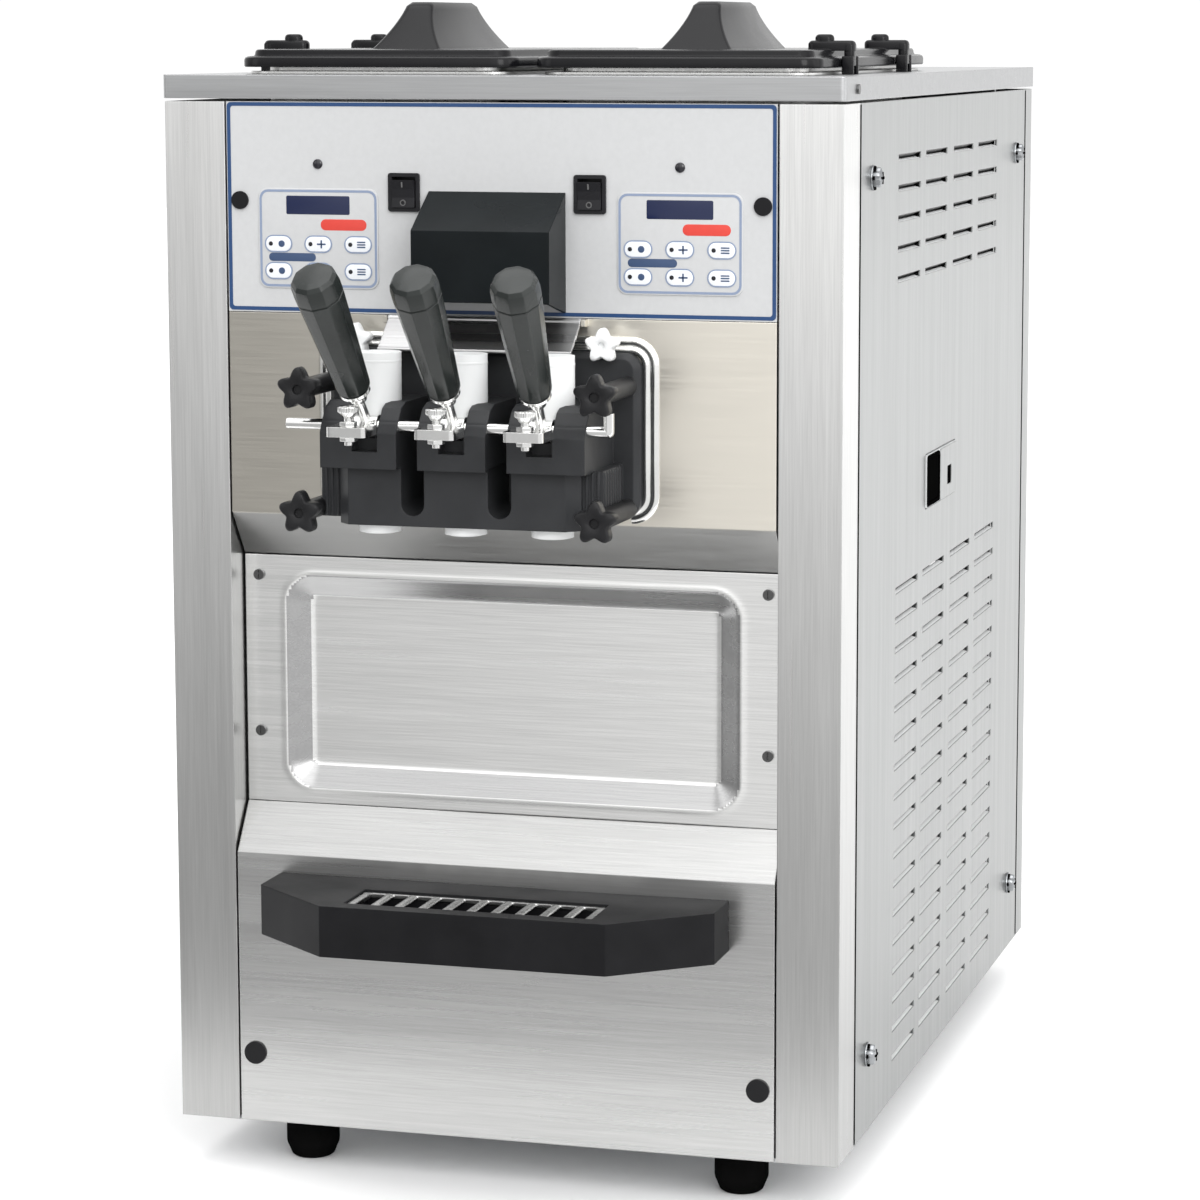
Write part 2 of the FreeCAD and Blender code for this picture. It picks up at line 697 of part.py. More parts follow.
def tray_outline(inset):
    return [
        (-TRAY_HALF + inset, -0.5 - inset),
        (-TRAY_HALF + inset, TRAY_SIDE_Y),
        (-TRAY_NOSE + inset * 0.5, TRAY_FRONT_Y + inset),
        (TRAY_NOSE - inset * 0.5, TRAY_FRONT_Y + inset),
        (TRAY_HALF - inset, TRAY_SIDE_Y),
        (TRAY_HALF - inset, -0.5 - inset),
    ]


def drip_tray():
    """Moulded tray: outer skirt, top skin, a basin under the grid and two peg sockets."""
    outer = prism(tray_outline(0), "z", TRAY_Z0, TRAY_Z1)
    under = prism(tray_outline(3.0), "z", TRAY_Z0 - 1, TRAY_Z1 - 3.5)
    y0, y1 = GRID_Y
    basin = block(-GRID_HALF - 2, GRID_HALF + 2, y0 - 2, y1 + 2, TRAY_Z0 + 2, TRAY_Z1 - 1)
    sockets = [rod(7.5, (x, -30, PEG_Z), Y_AXIS, 28) for x in (-PEG_X, PEG_X)]
    cuts = [
        block(-GRID_HALF - 0.3, GRID_HALF + 0.3, y0 - 0.3, y1 + 0.3, TRAY_Z1 - 5, TRAY_Z1 + 1),
        block(3 - GRID_HALF, GRID_HALF - 3, y0 + 3, y1 - 3, TRAY_Z0 + 5, TRAY_Z1),
    ]
    cuts += [rod(PEG_R + RUN_FIT, (x, -27, PEG_Z), Y_AXIS, 30) for x in (-PEG_X, PEG_X)]
    return cut_all(fuse_all([outer.cut(under), basin] + sockets), cuts)


def drip_grid():
    """Grid plate with a row of slots; it lifts out of the tray."""
    y0, y1 = GRID_Y
    plate = block(-GRID_HALF, GRID_HALF, y0, y1, TRAY_Z1 - 4.8, TRAY_Z1 - 1.5)
    slots = []
    for index in range(GRID_SLOTS):
        x = (index - (GRID_SLOTS - 1) / 2) * GRID_PITCH
        slots.append(block(x - 5.5, x + 5.5, y0 + 3.5, y1 - 3.5, TRAY_Z1 - 6, TRAY_Z1))
    return cut_all(plate, slots)


# ---------------------------------------------------------------- dispensing head


def valve_places():
    return [HEAD_X + step * VALVE_STEP for step in (-1, 0, 1)]


def valve_block(x0, x1):
    """Upper block about one valve: tall cheeks that slope down to the front."""
    outline = [
        (DOOR_BACK - 3, BODY_TOP - 1), (BLOCK_FRONT, BODY_TOP - 1), (BLOCK_FRONT, 529), (-78, 536),
        (-70, 546), (-60, 550), (DOOR_BACK - 3, 550),
    ]
    return prism(outline, "x", HEAD_X + x0, HEAD_X + x1)


def dispensing_head():
    """Freezer door: bevelled plate, lower body, three valve blocks, bores, slots and stud holes.

    Each outer valve is fed from one cylinder and the middle one from both.
    """
    x = HEAD_X
    plate = block(x - DOOR_HALF, x + DOOR_HALF, -DOOR_T, DOOR_BACK, DOOR_Z0, DOOR_Z1)
    plate = round_edges(plate, 12.0, Y_AXIS)
    plate = bevel_face(plate, 4.0, Y_AXIS, -DOOR_T)
    rear = 1 - DOOR_T
    half, corner = LOWER_HALF, 9.0
    centre = prism(
        [
            (x - half, rear), (x - half, LOWER_FRONT + corner), (x - half + corner, LOWER_FRONT),
            (x + half - corner, LOWER_FRONT), (x + half, LOWER_FRONT + corner), (x + half, rear),
        ],
        "z", BODY_Z0, BODY_TOP,
    )
    shoulders = block(x - SHOULDER_HALF, x + SHOULDER_HALF, SHOULDER_FRONT, rear, DOOR_Z0 + 1, BODY_TOP)
    blocks = [valve_block(-25, 25), valve_block(40.5, 97), valve_block(-97, -40.5)]
    solids = [plate, centre, shoulders] + blocks
    cuts = []
    for place in valve_places():
        cuts.append(rod(VALVE_R + RUN_FIT, (place, VALVE_Y, VALVE_Z0 - 0.5), Z_AXIS, 100))
        cuts.append(rod(NOZZLE_R, (place, VALVE_Y, BODY_Z0 - 1), Z_AXIS, 10))
        x0, x1 = place - SLOT_HALF, place + SLOT_HALF
        cuts.append(block(x0, x1, -90, VALVE_Y - VALVE_R - 2.5, SLOT_FLOOR, 560))
        cuts.append(block(x0, x1, -90, VALVE_Y, SLOT_WALL, 560))
    for side in (-1, 1):
        channel_x = x + side * VALVE_STEP / 2
        y0, y1 = CHANNEL_Y
        cuts.append(block(channel_x - CHANNEL_R, channel_x + CHANNEL_R, y0, y1, CHANNEL_FOOT, BODY_TOP + 1))
        cuts.append(rod(CHANNEL_R, (channel_x, y0, CHANNEL_FOOT), Y_AXIS, y1 - y0))
        cuts.append(feed_port((x + side * CYL_X, 0, 491), (x + side * VALVE_STEP, -40, 475)))
        cuts.append(feed_port((x + side * 30, 0, 502), (x + side * 5, -38, 474)))
        for z in STUD_Z:
            cuts.append(rod(STUD_R + 0.25, (x + side * STUD_X, -14, z), Y_AXIS, 15))
            cuts.append(rod(STEM_R + 0.3, (x + side * STUD_X, -62, z), Y_AXIS, 62 - DOOR_T))
    cuts.append(rod(PIVOT_R, (x - 130, PIVOT_Y, PIVOT_Z), X_AXIS, 260))
    return cut_all(fuse_all(solids), cuts)


def feed_port(mouth, end):
    """Sloping hole from a cylinder's mouth down to a valve bore."""
    run = vec(*end) - vec(*mouth)
    return Part.makeCylinder(4.0, run.Length, vec(*mouth), run)


def head_gaskets():
    """Flat rings that seal the door to the cylinder mouths."""
    return [pipe(CYL_R + 4, CYL_R, (x, DOOR_BACK, CYL_Z), Y_AXIS, 1.0) for x in cylinder_axis_places()]


def door_studs():
    studs = []
    for side in (-1, 1):
        for z in STUD_Z:
            studs.append(rod(STUD_R, (HEAD_X + side * STUD_X, -72, z), Y_AXIS, 80))
    return studs


def door_knob(side, z):
    """Star knob on a long hollow stem that clamps the door on its stud."""
    x = HEAD_X + side * STUD_X
    star = star_plate((x, KNOB_FRONT, z), 14.0, STAR_T)
    stem_y = KNOB_FRONT + STAR_T - 2
    stem = rod(STEM_R, (x, stem_y, z), Y_AXIS, -DOOR_T - 0.3 - stem_y)
    bore = rod(STUD_R + RUN_FIT, (x, -76, z), Y_AXIS, 70)
    dimple = rod(3.0, (x, KNOB_FRONT - 1, z), Y_AXIS, 4)
    return cut_all(fuse_all([star, stem]), [bore, dimple])


def pivot_rod():
    """Rod through the valve blocks, bent upwards at its right-hand end."""
    x0 = HEAD_X - 124
    bend_x = HEAD_X + 112
    straight = rod(PIVOT_R, (x0, PIVOT_Y, PIVOT_Z), X_AXIS, bend_x - x0)
    corner = Part.makeSphere(PIVOT_R, vec(bend_x, PIVOT_Y, PIVOT_Z))
    tail = rod(PIVOT_R, (bend_x, PIVOT_Y, PIVOT_Z), Z_AXIS, 13)
    return fuse_all([straight, corner, tail])


def lever_axis(splay):
    """Unit vector along the handle at rest: leaning forward and a little outward."""
    lean = math.radians(GRIP_LEAN)
    out = math.radians(splay)
    return vec(math.sin(out), -math.sin(lean) * math.cos(out), math.cos(lean) * math.cos(out))


def draw_lever(x, splay):
    """Hub on the pivot rod, handle rod, front arm with its adjusting screw, and the tongue.

    The round-ended tongue swings through equal angles below and above the pivot's level.
    """
    hub = rod(HUB_R, (x - 8, PIVOT_Y, PIVOT_Z), X_AXIS, 16)
    shaft = Part.makeCylinder(4.0, GRIP_TO - 8, vec(x, PIVOT_Y, PIVOT_Z), lever_axis(splay))
    neck = block(x - 8, x + 8, PIVOT_Y - 20, PIVOT_Y, PIVOT_Z - 4, PIVOT_Z + 3)
    bar = block(x - 14.5, x + 14.5, PIVOT_Y - 46, PIVOT_Y - 20, PIVOT_Z - 4, PIVOT_Z + 3)
    bar = round_edges(bar, 3.0, Z_AXIS)
    screw_y = PIVOT_Y - 39
    screw = rod(3.0, (x, screw_y, PIVOT_Z - 10), Z_AXIS, 20)
    head = Part.makeCone(3.5, 7.0, 8, vec(x, screw_y, PIVOT_Z + 9))
    tongue = fuse_all([
        block(x - 5, x + 5, PIVOT_Y, PIVOT_Y + TONGUE_REACH, PIVOT_Z - 1.2, PIVOT_Z + 1.2),
        rod(TONGUE_R, (x - 5, PIVOT_Y + TONGUE_REACH, PIVOT_Z), X_AXIS, 10),
    ])
    tongue = spun(tongue, (x, PIVOT_Y, PIVOT_Z), X_AXIS, -LEVER_PULL / 2)
    bore = rod(PIVOT_R + RUN_FIT, (x - 12, PIVOT_Y, PIVOT_Z), X_AXIS, 24)
    return fuse_all([hub, shaft, neck, bar, screw, head, tongue]).cut(bore)


def lever_grip(x, splay):
    """Faceted grip, wider at the top, pushed over the lever's rod."""
    rings = []
    for distance, radius in ((GRIP_FROM, 12.5), (GRIP_TO - 12, 17.5), (GRIP_TO, 16.5)):
        corners = []
        for index in range(GRIP_SIDES):
            turn = 2 * math.pi * index / GRIP_SIDES
            corners.append(vec(radius * math.cos(turn), radius * math.sin(turn), distance))
        rings.append(Part.makePolygon(corners + corners[:1]))
    grip = Part.makeLoft(rings, True, True)
    grip = grip.cut(rod(4.0, (0, 0, 0), Z_AXIS, GRIP_TO - 8))
    lean = math.degrees(math.acos(lever_axis(splay).z))
    grip.rotate(vec(0, 0, 0), Z_AXIS.cross(lever_axis(splay)), lean)
    grip.translate(vec(x, PIVOT_Y, PIVOT_Z))
    return grip


def draw_valve(x):
    """Piston with the notch that its lever's tongue works in."""
    body = rod(VALVE_R, (x, VALVE_Y, VALVE_Z0), Z_AXIS, VALVE_Z1 - VALVE_Z0)
    drop = TONGUE_REACH * math.sin(math.radians(LEVER_PULL / 2))
    tip_z = PIVOT_Z - drop
    notch = block(x - 6.5, x + 6.5, VALVE_Y - VALVE_R - 1, VALVE_Y - 6, tip_z - 4.3, tip_z + 3.9)
    return body.cut(notch)


def nozzle_caps():
    """Push-on caps with a six-pointed outlet, one under each valve."""
    caps = []
    for x in valve_places():
        disc = rod(15.0, (x, VALVE_Y, BODY_Z0 - 6.5), Z_AXIS, 6.5)
        arms = [block(x - 1.5, x + 1.5, VALVE_Y - 7, VALVE_Y + 7, BODY_Z0 - 10, BODY_Z0 + 1)]
        for turn in (60, 120):
            arms.append(spun(arms[0], (x, VALVE_Y, 0), Z_AXIS, turn))
        caps.append(cut_all(disc, arms))
    return caps


# ---------------------------------------------------------------- inside the cabinet


def cylinder_axis_places():
    return [HEAD_X - CYL_X, HEAD_X + CYL_X]


def freezing_cylinders():
    """Closed-back tubes; each mouth fits its hole in the head plate."""
    tubes = []
    for x in cylinder_axis_places():
        outer = rod(CYL_R + CYL_WALL, (x, 0, CYL_Z), Y_AXIS, CYL_END)
        inner = rod(CYL_R, (x, -1, CYL_Z), Y_AXIS, CYL_END - 7)
        shaft = rod(7.0 + RUN_FIT, (x, CYL_END - 10, CYL_Z), Y_AXIS, 20)
        tubes.append(cut_all(outer, [inner, shaft]))
    return tubes


def beater(x):
    """Dasher: drive shaft, two spiders and three scraper bars."""
    shaft = rod(7.0, (x, 14, CYL_Z), Y_AXIS, BULKHEAD_Y)
    solids = [shaft]
    for index in range(3):
        bar = block(x - 3, x + 3, 12, 236, CYL_Z + 31, CYL_Z + 39)
        solids.append(spun(bar, (x, 0, CYL_Z), Y_AXIS, 120 * index))
        for y in (20, 124, 222):
            arm = block(x - 3, x + 3, y, y + 8, CYL_Z, CYL_Z + 33)
            solids.append(spun(arm, (x, 0, CYL_Z), Y_AXIS, 120 * index))
    return fuse_all(solids)


def gear_motors():
    """One per cylinder: a gearbox on the bulkhead whose hollow output takes the shaft, and a motor."""
    units = []
    for x in cylinder_axis_places():
        y = BULKHEAD_Y + PLATE_T
        box = round_edges(block(x - 42, x + 42, y, y + 48, CYL_Z - 40, CYL_Z + 42), 8.0, Y_AXIS)
        motor = rod(38.0, (x, y + 46, CYL_Z), Y_AXIS, 120)
        bore = rod(7.0 + RUN_FIT, (x, y - 1, CYL_Z), Y_AXIS, 16)
        units.append(fuse_all([box, motor]).cut(bore))
    return units


def bulkhead():
    """Upright plate behind the cylinders, with a shelf for the seal drip drawer."""
    half = SIDE_X - SHEET - 3
    plate = block(-half, half, BULKHEAD_Y, BULKHEAD_Y + PLATE_T, PLATE_T, HOPPER_Z0 - 2)
    shelf = block(DRAWER_X0 - 4, half, BULKHEAD_Y, DRAWER_Y[1] + 6, DRAWER_Z[0] - 3, DRAWER_Z[0] - 1)
    cheek_y = DRAWER_Y[1] + 3
    cheek = block(DRAWER_X0 - 4, half, cheek_y, cheek_y + 3, DRAWER_Z[0] - 3, DRAWER_Z[0] + 20)
    holes = [rod(8.0, (x, BULKHEAD_Y - 1, CYL_Z), Y_AXIS, 6) for x in cylinder_axis_places()]
    return cut_all(fuse_all([plate, shelf, cheek]), holes)


def seal_drip_drawer():
    """Long drawer under the shaft seals, with a finger recess and a latch slot in its front."""
    y0, y1 = DRAWER_Y
    z0, z1 = DRAWER_Z
    body = block(DRAWER_X0, SIDE_X + 1, y0, y1, z0, z1)
    pocket = block(DRAWER_X0 + 2, SIDE_X - 28, y0 + 2, y1 - 2, z0 + 2, z1 + 1)
    recess = block(SIDE_X - 24, SIDE_X + 2, y0 + 3, y0 + 46, z0 + 3, z1 - 3)
    slot = block(SIDE_X - 3, SIDE_X + 2, 371, 389, z0 + 9, z0 + 25)
    return cut_all(body, [pocket, recess, slot])


def compressor():
    """Hermetic compressor: domed shell, feet and terminal box."""
    x, y = -120.0, 560.0
    shell = fuse_all([
        rod(75.0, (x, y, 60), Z_AXIS, 120),
        Part.makeSphere(75.0, vec(x, y, 180)).common(block(x - 80, x + 80, y - 80, y + 80, 180, 240)),
        rod(60.0, (x, y, 40), Z_AXIS, 20),
    ])
    solids = [shell, block(x + 60, x + 95, y - 30, y + 30, 90, 150)]
    for dx in (-70, 70):
        for dy in (-70, 70):
            solids.append(rod(12.0, (x + dx, y + dy, PLATE_T), Z_AXIS, 39))
    solids.append(block(x - 85, x + 85, y - 85, y + 85, 40, 44))
    return fuse_all(solids)


def condenser():
    """Finned coil block with end plates and a fan shroud on its inner face."""
    x0 = 196.0
    core = block(x0, x0 + 40, 305, 575, 64, 336)
    fins = [block(x0 - 1, x0 + 41, y, y + 5, 63, 337).cut(core) for y in range(312, 570, 10)]
    ends = [block(x0 - 2, x0 + 44, y, y + 3, PLATE_T, 345) for y in (302, 575)]
    shroud = block(x0 - 14, x0 - 2, 302, 578, 60, 340)
    shroud = shroud.cut(rod(FAN_R + 6, (x0 - 30, FAN_Y, FAN_Z), X_AXIS, 29))
    return fuse_all([core, shroud] + fins + ends)


def fan():
    """Five tilted blades on a hub."""
    hub = rod(26.0, (FAN_X, FAN_Y, FAN_Z), X_AXIS, 24)
    solids = [hub]
    for index in range(5):
        blade = block(FAN_X + 11, FAN_X + 13, FAN_Y - 30, FAN_Y + 30, FAN_Z + 20, FAN_Z + FAN_R - 8)
        blade = spun(blade, (FAN_X + 12, FAN_Y, FAN_Z), Z_AXIS, 24)
        solids.append(spun(blade, (FAN_X, FAN_Y, FAN_Z), X_AXIS, 72 * index))
    bore = rod(4.0 + RUN_FIT, (FAN_X - 1, FAN_Y, FAN_Z), X_AXIS, 22)
    return fuse_all(solids).cut(bore)


def fan_motor():
    """Motor on a bracket that stands on the base pan; its shaft enters the fan hub."""
    body = rod(35.0, (FAN_X - 60, FAN_Y, FAN_Z), X_AXIS, 54)
    shaft = rod(4.0, (FAN_X - 6, FAN_Y, FAN_Z), X_AXIS, 24)
    post = block(FAN_X - 45, FAN_X - 25, FAN_Y - 20, FAN_Y + 20, PLATE_T + 4, FAN_Z - 20)
    foot = block(FAN_X - 60, FAN_X - 10, FAN_Y - 30, FAN_Y + 30, PLATE_T, PLATE_T + 4)
    return fuse_all([body, shaft, post, foot])


def control_box():
    """Folded box for the electrics behind the splash panel, hung on the bulkhead."""
    outer = block(-235, -75, 150, BULKHEAD_Y, 120, 330)
    inner = block(-233, -77, 148, BULKHEAD_Y - 2, 122, 328)
    cover = block(-237, -73, 148.4, 150, 118, 332)
    return fuse_all([outer.cut(inner), cover])


# ---------------------------------------------------------------- write the nodes

save("base_pan", base_pan())
save("rubber_feet", *rubber_feet())
save("front_corner_posts", front_post(), mirrored(front_post()))
save("rear_corner_posts", rear_post(), mirrored(rear_post()))
save("left_side_panel", mirrored(side_panel()))
save("right_side_panel", side_panel().cut(drawer_cutout()))
save("side_thumb_bolts", *side_bolts())
save("rear_panel", rear_panel())
save("power_inlet", power_inlet())
save("top_deck", top_deck())
save("hoppers", hopper(-1), hopper(1))
save("left_lid", mirrored(lid()))
save("right_lid", lid())
save("control_fascia", control_fascia())
save("keypads", keypad(-1), keypad(1))
save("display_lenses", *display_lenses())
save("hole_plugs", *hole_plugs())
save("rocker_bezels", rocker_bezel(-1), rocker_bezel(1))
save("left_rocker", rocker(-1))
save("right_rocker", rocker(1))
save("switch_cover", switch_cover())
save("switch_paddle", switch_paddle())
save("head_plate", head_plate())
save("door_surround", door_surround())
save("splash_panel", splash_panel())
save("front_panel_screws", *front_panel_screws())
save("lower_front_panel", lower_front_panel())
save("drip_tray", drip_tray())
save("drip_grid", drip_grid())
save("dispensing_head", dispensing_head())
save("head_gaskets", *head_gaskets())
save("door_studs", *door_studs())
for side_name, side in (("left", -1), ("right", 1)):
    save(side_name + "_prime_plug", prime_plug(side))
    for level_name, level in zip(("lower", "upper"), STUD_Z):
        save(side_name + "_" + level_name + "_knob", door_knob(side, level))
for side_name, place, splay in zip(
    ("left", "middle", "right"), valve_places(), (-GRIP_SPLAY, 0.0, GRIP_SPLAY)
):
    save(side_name + "_lever", draw_lever(place, splay))
    save(side_name + "_grip", lever_grip(place, splay))
    save(side_name + "_draw_valve", draw_valve(place))
save("nozzle_caps", *nozzle_caps())
save("pivot_rod", pivot_rod())
save("freezing_cylinders", *freezing_cylinders())
for side_name, place in zip(("left", "right"), cylinder_axis_places()):
    save(side_name + "_beater", beater(place))
save("gear_motors", *gear_motors())
save("bulkhead", bulkhead())
save("seal_drip_drawer", seal_drip_drawer())
save("compressor", compressor())
save("condenser", condenser())
save("fan", fan())
save("fan_motor", fan_motor())
save("control_box", control_box())
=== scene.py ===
import math

import bmesh
import bpy
from mathutils import Matrix, Vector


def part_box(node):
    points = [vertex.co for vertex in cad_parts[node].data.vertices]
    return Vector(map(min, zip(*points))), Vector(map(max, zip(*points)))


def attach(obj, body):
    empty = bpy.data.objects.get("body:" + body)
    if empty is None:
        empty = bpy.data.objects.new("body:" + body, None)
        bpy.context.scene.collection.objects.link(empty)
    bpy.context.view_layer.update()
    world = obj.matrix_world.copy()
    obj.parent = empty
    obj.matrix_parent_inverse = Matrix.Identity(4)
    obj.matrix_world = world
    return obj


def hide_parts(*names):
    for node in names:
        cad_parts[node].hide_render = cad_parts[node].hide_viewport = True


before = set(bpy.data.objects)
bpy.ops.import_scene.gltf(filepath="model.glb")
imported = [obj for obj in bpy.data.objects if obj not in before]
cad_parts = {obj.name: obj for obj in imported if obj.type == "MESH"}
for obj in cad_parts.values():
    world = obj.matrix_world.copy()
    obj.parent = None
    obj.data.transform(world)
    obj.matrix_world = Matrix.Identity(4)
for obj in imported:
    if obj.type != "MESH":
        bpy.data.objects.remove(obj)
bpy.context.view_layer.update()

# Everything below is given in millimetres from the cabinet: x from its middle, y back from its
# front plane, z up from its underside. place() turns that into the shared frame's metres.
FRONT_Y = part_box("front_corner_posts")[0].y
CABINET_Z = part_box("base_pan")[0].z
SIDE_X = 252.5  # outer faces of the side panels
HEAD_X = -8.0  # middle of the dispensing head
VALVE_STEP = 64.0
VALVE_Y = -50.0
PIVOT_Y = -74.0  # the levers' pivot rod
PIVOT_Z = 534.0
LID_CLIP_Y = (140.0, 330.0)

UP = Vector((0, 0, 1))
RIGHT = Vector((1, 0, 0))
FORWARD = Vector((0, -1, 0))


def place(x, y, z):
    """A point given in cabinet millimetres, as metres in the shared frame."""
    return Vector((x / 1000, FRONT_Y + y / 1000, CABINET_Z + z / 1000))


# ---------------------------------------------------------------- materials


# Brush marks are noise drawn out along one axis; noise scales are per metre, edge radii in metres
GRAIN = {"x": (0.02, 1, 1), "y": (1, 0.02, 1), "z": (1, 1, 0.02)}
FINE_MARKS = 900
WIDE_MARKS = 140
SHEET_EDGE = 0.0012


class Recipe:
    """A principled material whose nodes are added step by step."""

    def __init__(self, name, colour, roughness, metallic=0.0):
        self.material = bpy.data.materials.new(name)
        self.material.use_nodes = True
        self.nodes = self.material.node_tree.nodes
        self.links = self.material.node_tree.links
        self.shader = self.nodes["Principled BSDF"]
        self.shader.inputs["Base Color"].default_value = (*colour, 1)
        self.shader.inputs["Roughness"].default_value = roughness
        self.shader.inputs["Metallic"].default_value = metallic
        self.normal = None
        self.coords = self.nodes.new("ShaderNodeTexCoord").outputs["Object"]

    def set(self, socket, value):
        self.shader.inputs[socket].default_value = value
        return self

    def noise(self, scale, stretch=(1, 1, 1), detail=4.0):
        mapping = self.nodes.new("ShaderNodeMapping")
        mapping.inputs["Scale"].default_value = stretch
        self.links.new(self.coords, mapping.inputs["Vector"])
        noise = self.nodes.new("ShaderNodeTexNoise")
        noise.inputs["Scale"].default_value = scale
        noise.inputs["Detail"].default_value = detail
        self.links.new(mapping.outputs["Vector"], noise.inputs["Vector"])
        return noise.outputs["Fac"]

    def spread(self, factor, low, high):
        """Ease a noise factor onto a range."""
        remap = self.nodes.new("ShaderNodeMapRange")
        remap.interpolation_type = "SMOOTHSTEP"
        remap.inputs["From Min"].default_value = 0.2
        remap.inputs["From Max"].default_value = 0.8
        remap.inputs["To Min"].default_value = low
        remap.inputs["To Max"].default_value = high
        self.links.new(factor, remap.inputs["Value"])
        return remap.outputs["Result"]

    def slope(self, axis, low, high):
        """0 to 1 along one object axis, between two heights in metres."""
        split = self.nodes.new("ShaderNodeSeparateXYZ")
        self.links.new(self.coords, split.inputs["Vector"])
        ease = self.nodes.new("ShaderNodeMapRange")
        ease.interpolation_type = "SMOOTHSTEP"
        ease.inputs["From Min"].default_value = low
        ease.inputs["From Max"].default_value = high
        self.links.new(split.outputs[axis], ease.inputs["Value"])
        return ease.outputs["Result"]

    def mix_colours(self, factor, first, second):
        """Blend two sockets or plain colours."""
        mix = self.nodes.new("ShaderNodeMix")
        mix.data_type = "RGBA"
        self.links.new(factor, mix.inputs["Factor"])
        for slot, value in (("A", first), ("B", second)):
            socket = [i for i in mix.inputs if i.name == slot and i.type == "RGBA"][0]
            if isinstance(value, tuple):
                socket.default_value = (*value, 1)
            else:
                self.links.new(value, socket)
        return [o for o in mix.outputs if o.type == "RGBA"][0]

    def vary_roughness(self, factor, low, high):
        self.links.new(self.spread(factor, low, high), self.shader.inputs["Roughness"])
        return self

    def ramp(self, factor, dark, light):
        """Turn a noise factor into a colour between two others."""
        ramp = self.nodes.new("ShaderNodeValToRGB")
        ramp.color_ramp.elements[0].position = 0.3
        ramp.color_ramp.elements[1].position = 0.7
        ramp.color_ramp.elements[0].color = (*dark, 1)
        ramp.color_ramp.elements[1].color = (*light, 1)
        self.links.new(factor, ramp.inputs["Fac"])
        return ramp.outputs["Color"]

    def vary_colour(self, factor, dark, light):
        self.links.new(self.ramp(factor, dark, light), self.shader.inputs["Base Color"])
        return self

    def soften_edges(self, radius):
        """Shade sharp edges as if they had this radius, in metres."""
        bevel = self.nodes.new("ShaderNodeBevel")
        bevel.samples = 4
        bevel.inputs["Radius"].default_value = radius
        self.normal = bevel.outputs["Normal"]
        self.links.new(self.normal, self.shader.inputs["Normal"])
        return self

    def bump(self, factor, strength, distance=0.0005):
        bump = self.nodes.new("ShaderNodeBump")
        bump.inputs["Strength"].default_value = strength
        bump.inputs["Distance"].default_value = distance
        self.links.new(factor, bump.inputs["Height"])
        if self.normal:
            self.links.new(self.normal, bump.inputs["Normal"])
        self.normal = bump.outputs["Normal"]
        self.links.new(self.normal, self.shader.inputs["Normal"])
        return self


def scaled(colour, amount):
    """A colour made darker or lighter, up to full white."""
    return tuple(min(1.0, c * amount) for c in colour)


def brushed(name, colour, grain, roughness=0.30, foot=1.0):
    """Brushed stainless sheet; grain is the axis it runs along, and foot paints shade that darkens the
    colour towards the lower end.
    """
    recipe = Recipe(name, colour, roughness, 1.0).soften_edges(SHEET_EDGE)
    fine = recipe.noise(FINE_MARKS, GRAIN[grain], 3)
    streaks = recipe.noise(WIDE_MARKS, GRAIN[grain], 2)
    # The lower tone, scaled by foot, is painted shade that is blended in towards the bottom
    low, high = (
        recipe.ramp(fine, scaled(colour, 0.93 * share), scaled(colour, 1.05 * share))
        for share in (foot, 1.0)
    )
    shade = recipe.mix_colours(recipe.slope("Z", 0.1, 0.85), low, high) if foot < 1.0 else high
    recipe.links.new(shade, recipe.shader.inputs["Base Color"])
    recipe.vary_roughness(streaks, roughness - 0.03, roughness + 0.04)
    recipe.bump(fine, 0.10, 0.0002)
    return recipe.material


def painted_light_sheet(name, lower, upper, seam):
    """Brushed sheet: a warm face above the seam and a darker fold below it as painted shade, both with
    painted light that pales them to the right and darkens them to the left.
    """
    recipe = Recipe(name, upper, 0.34, 1.0).soften_edges(0.0010)
    fine = recipe.noise(FINE_MARKS, GRAIN["x"], 3)
    # painted light and shade: the colour darkens towards the left as if lit from the right
    across = recipe.slope("X", -0.20, 0.16)
    warm = recipe.mix_colours(across, scaled(upper, 0.54), upper)
    # the fold's darker colour is painted shade for its downward tilt
    fold = recipe.mix_colours(across, scaled(lower, 0.9), scaled(lower, 1.9))
    whole = recipe.mix_colours(recipe.slope("Z", seam - 0.001, seam + 0.001), fold, warm)
    recipe.links.new(whole, recipe.shader.inputs["Base Color"])
    recipe.vary_roughness(fine, 0.28, 0.38)
    recipe.bump(fine, 0.10, 0.0002)
    return recipe.material


def polished(name, colour, roughness=0.12):
    """Bright metal with faint smudges."""
    recipe = Recipe(name, colour, roughness, 1.0).soften_edges(0.0006)
    smudge = recipe.noise(60, detail=5)
    recipe.vary_roughness(smudge, roughness - 0.04, roughness + 0.08)
    recipe.bump(recipe.noise(400, detail=2), 0.03)
    return recipe.material


def moulded(name, colour, roughness, grain=0.12, edge=0.0010, scale=1400, gloss=0.2, mottle=0.15):
    """Moulded plastic or casting: fine spark texture, blotches of sheen and shade, soft edges."""
    recipe = Recipe(name, colour, roughness).set("Specular IOR Level", gloss).soften_edges(edge)
    blotch = recipe.noise(18)
    recipe.vary_roughness(blotch, roughness - 0.05, roughness + 0.07)
    recipe.vary_colour(recipe.noise(35), scaled(colour, 1 - mottle), scaled(colour, 1 + mottle))
    recipe.bump(recipe.noise(scale, detail=2), grain, 0.0003)
    return recipe.material


def printed(name, colour, roughness=0.35):
    """Ink or film on a flat overlay."""
    recipe = Recipe(name, colour, roughness)
    recipe.vary_colour(recipe.noise(250), scaled(colour, 0.98), scaled(colour, 1.02))
    recipe.bump(recipe.noise(1800, detail=2), 0.05, 0.0002)
    return recipe.material


SILVER = (0.51, 0.515, 0.52)
NAVY = (0.010, 0.016, 0.055)

FOLD_Z = 459  # where the head plate bends forward

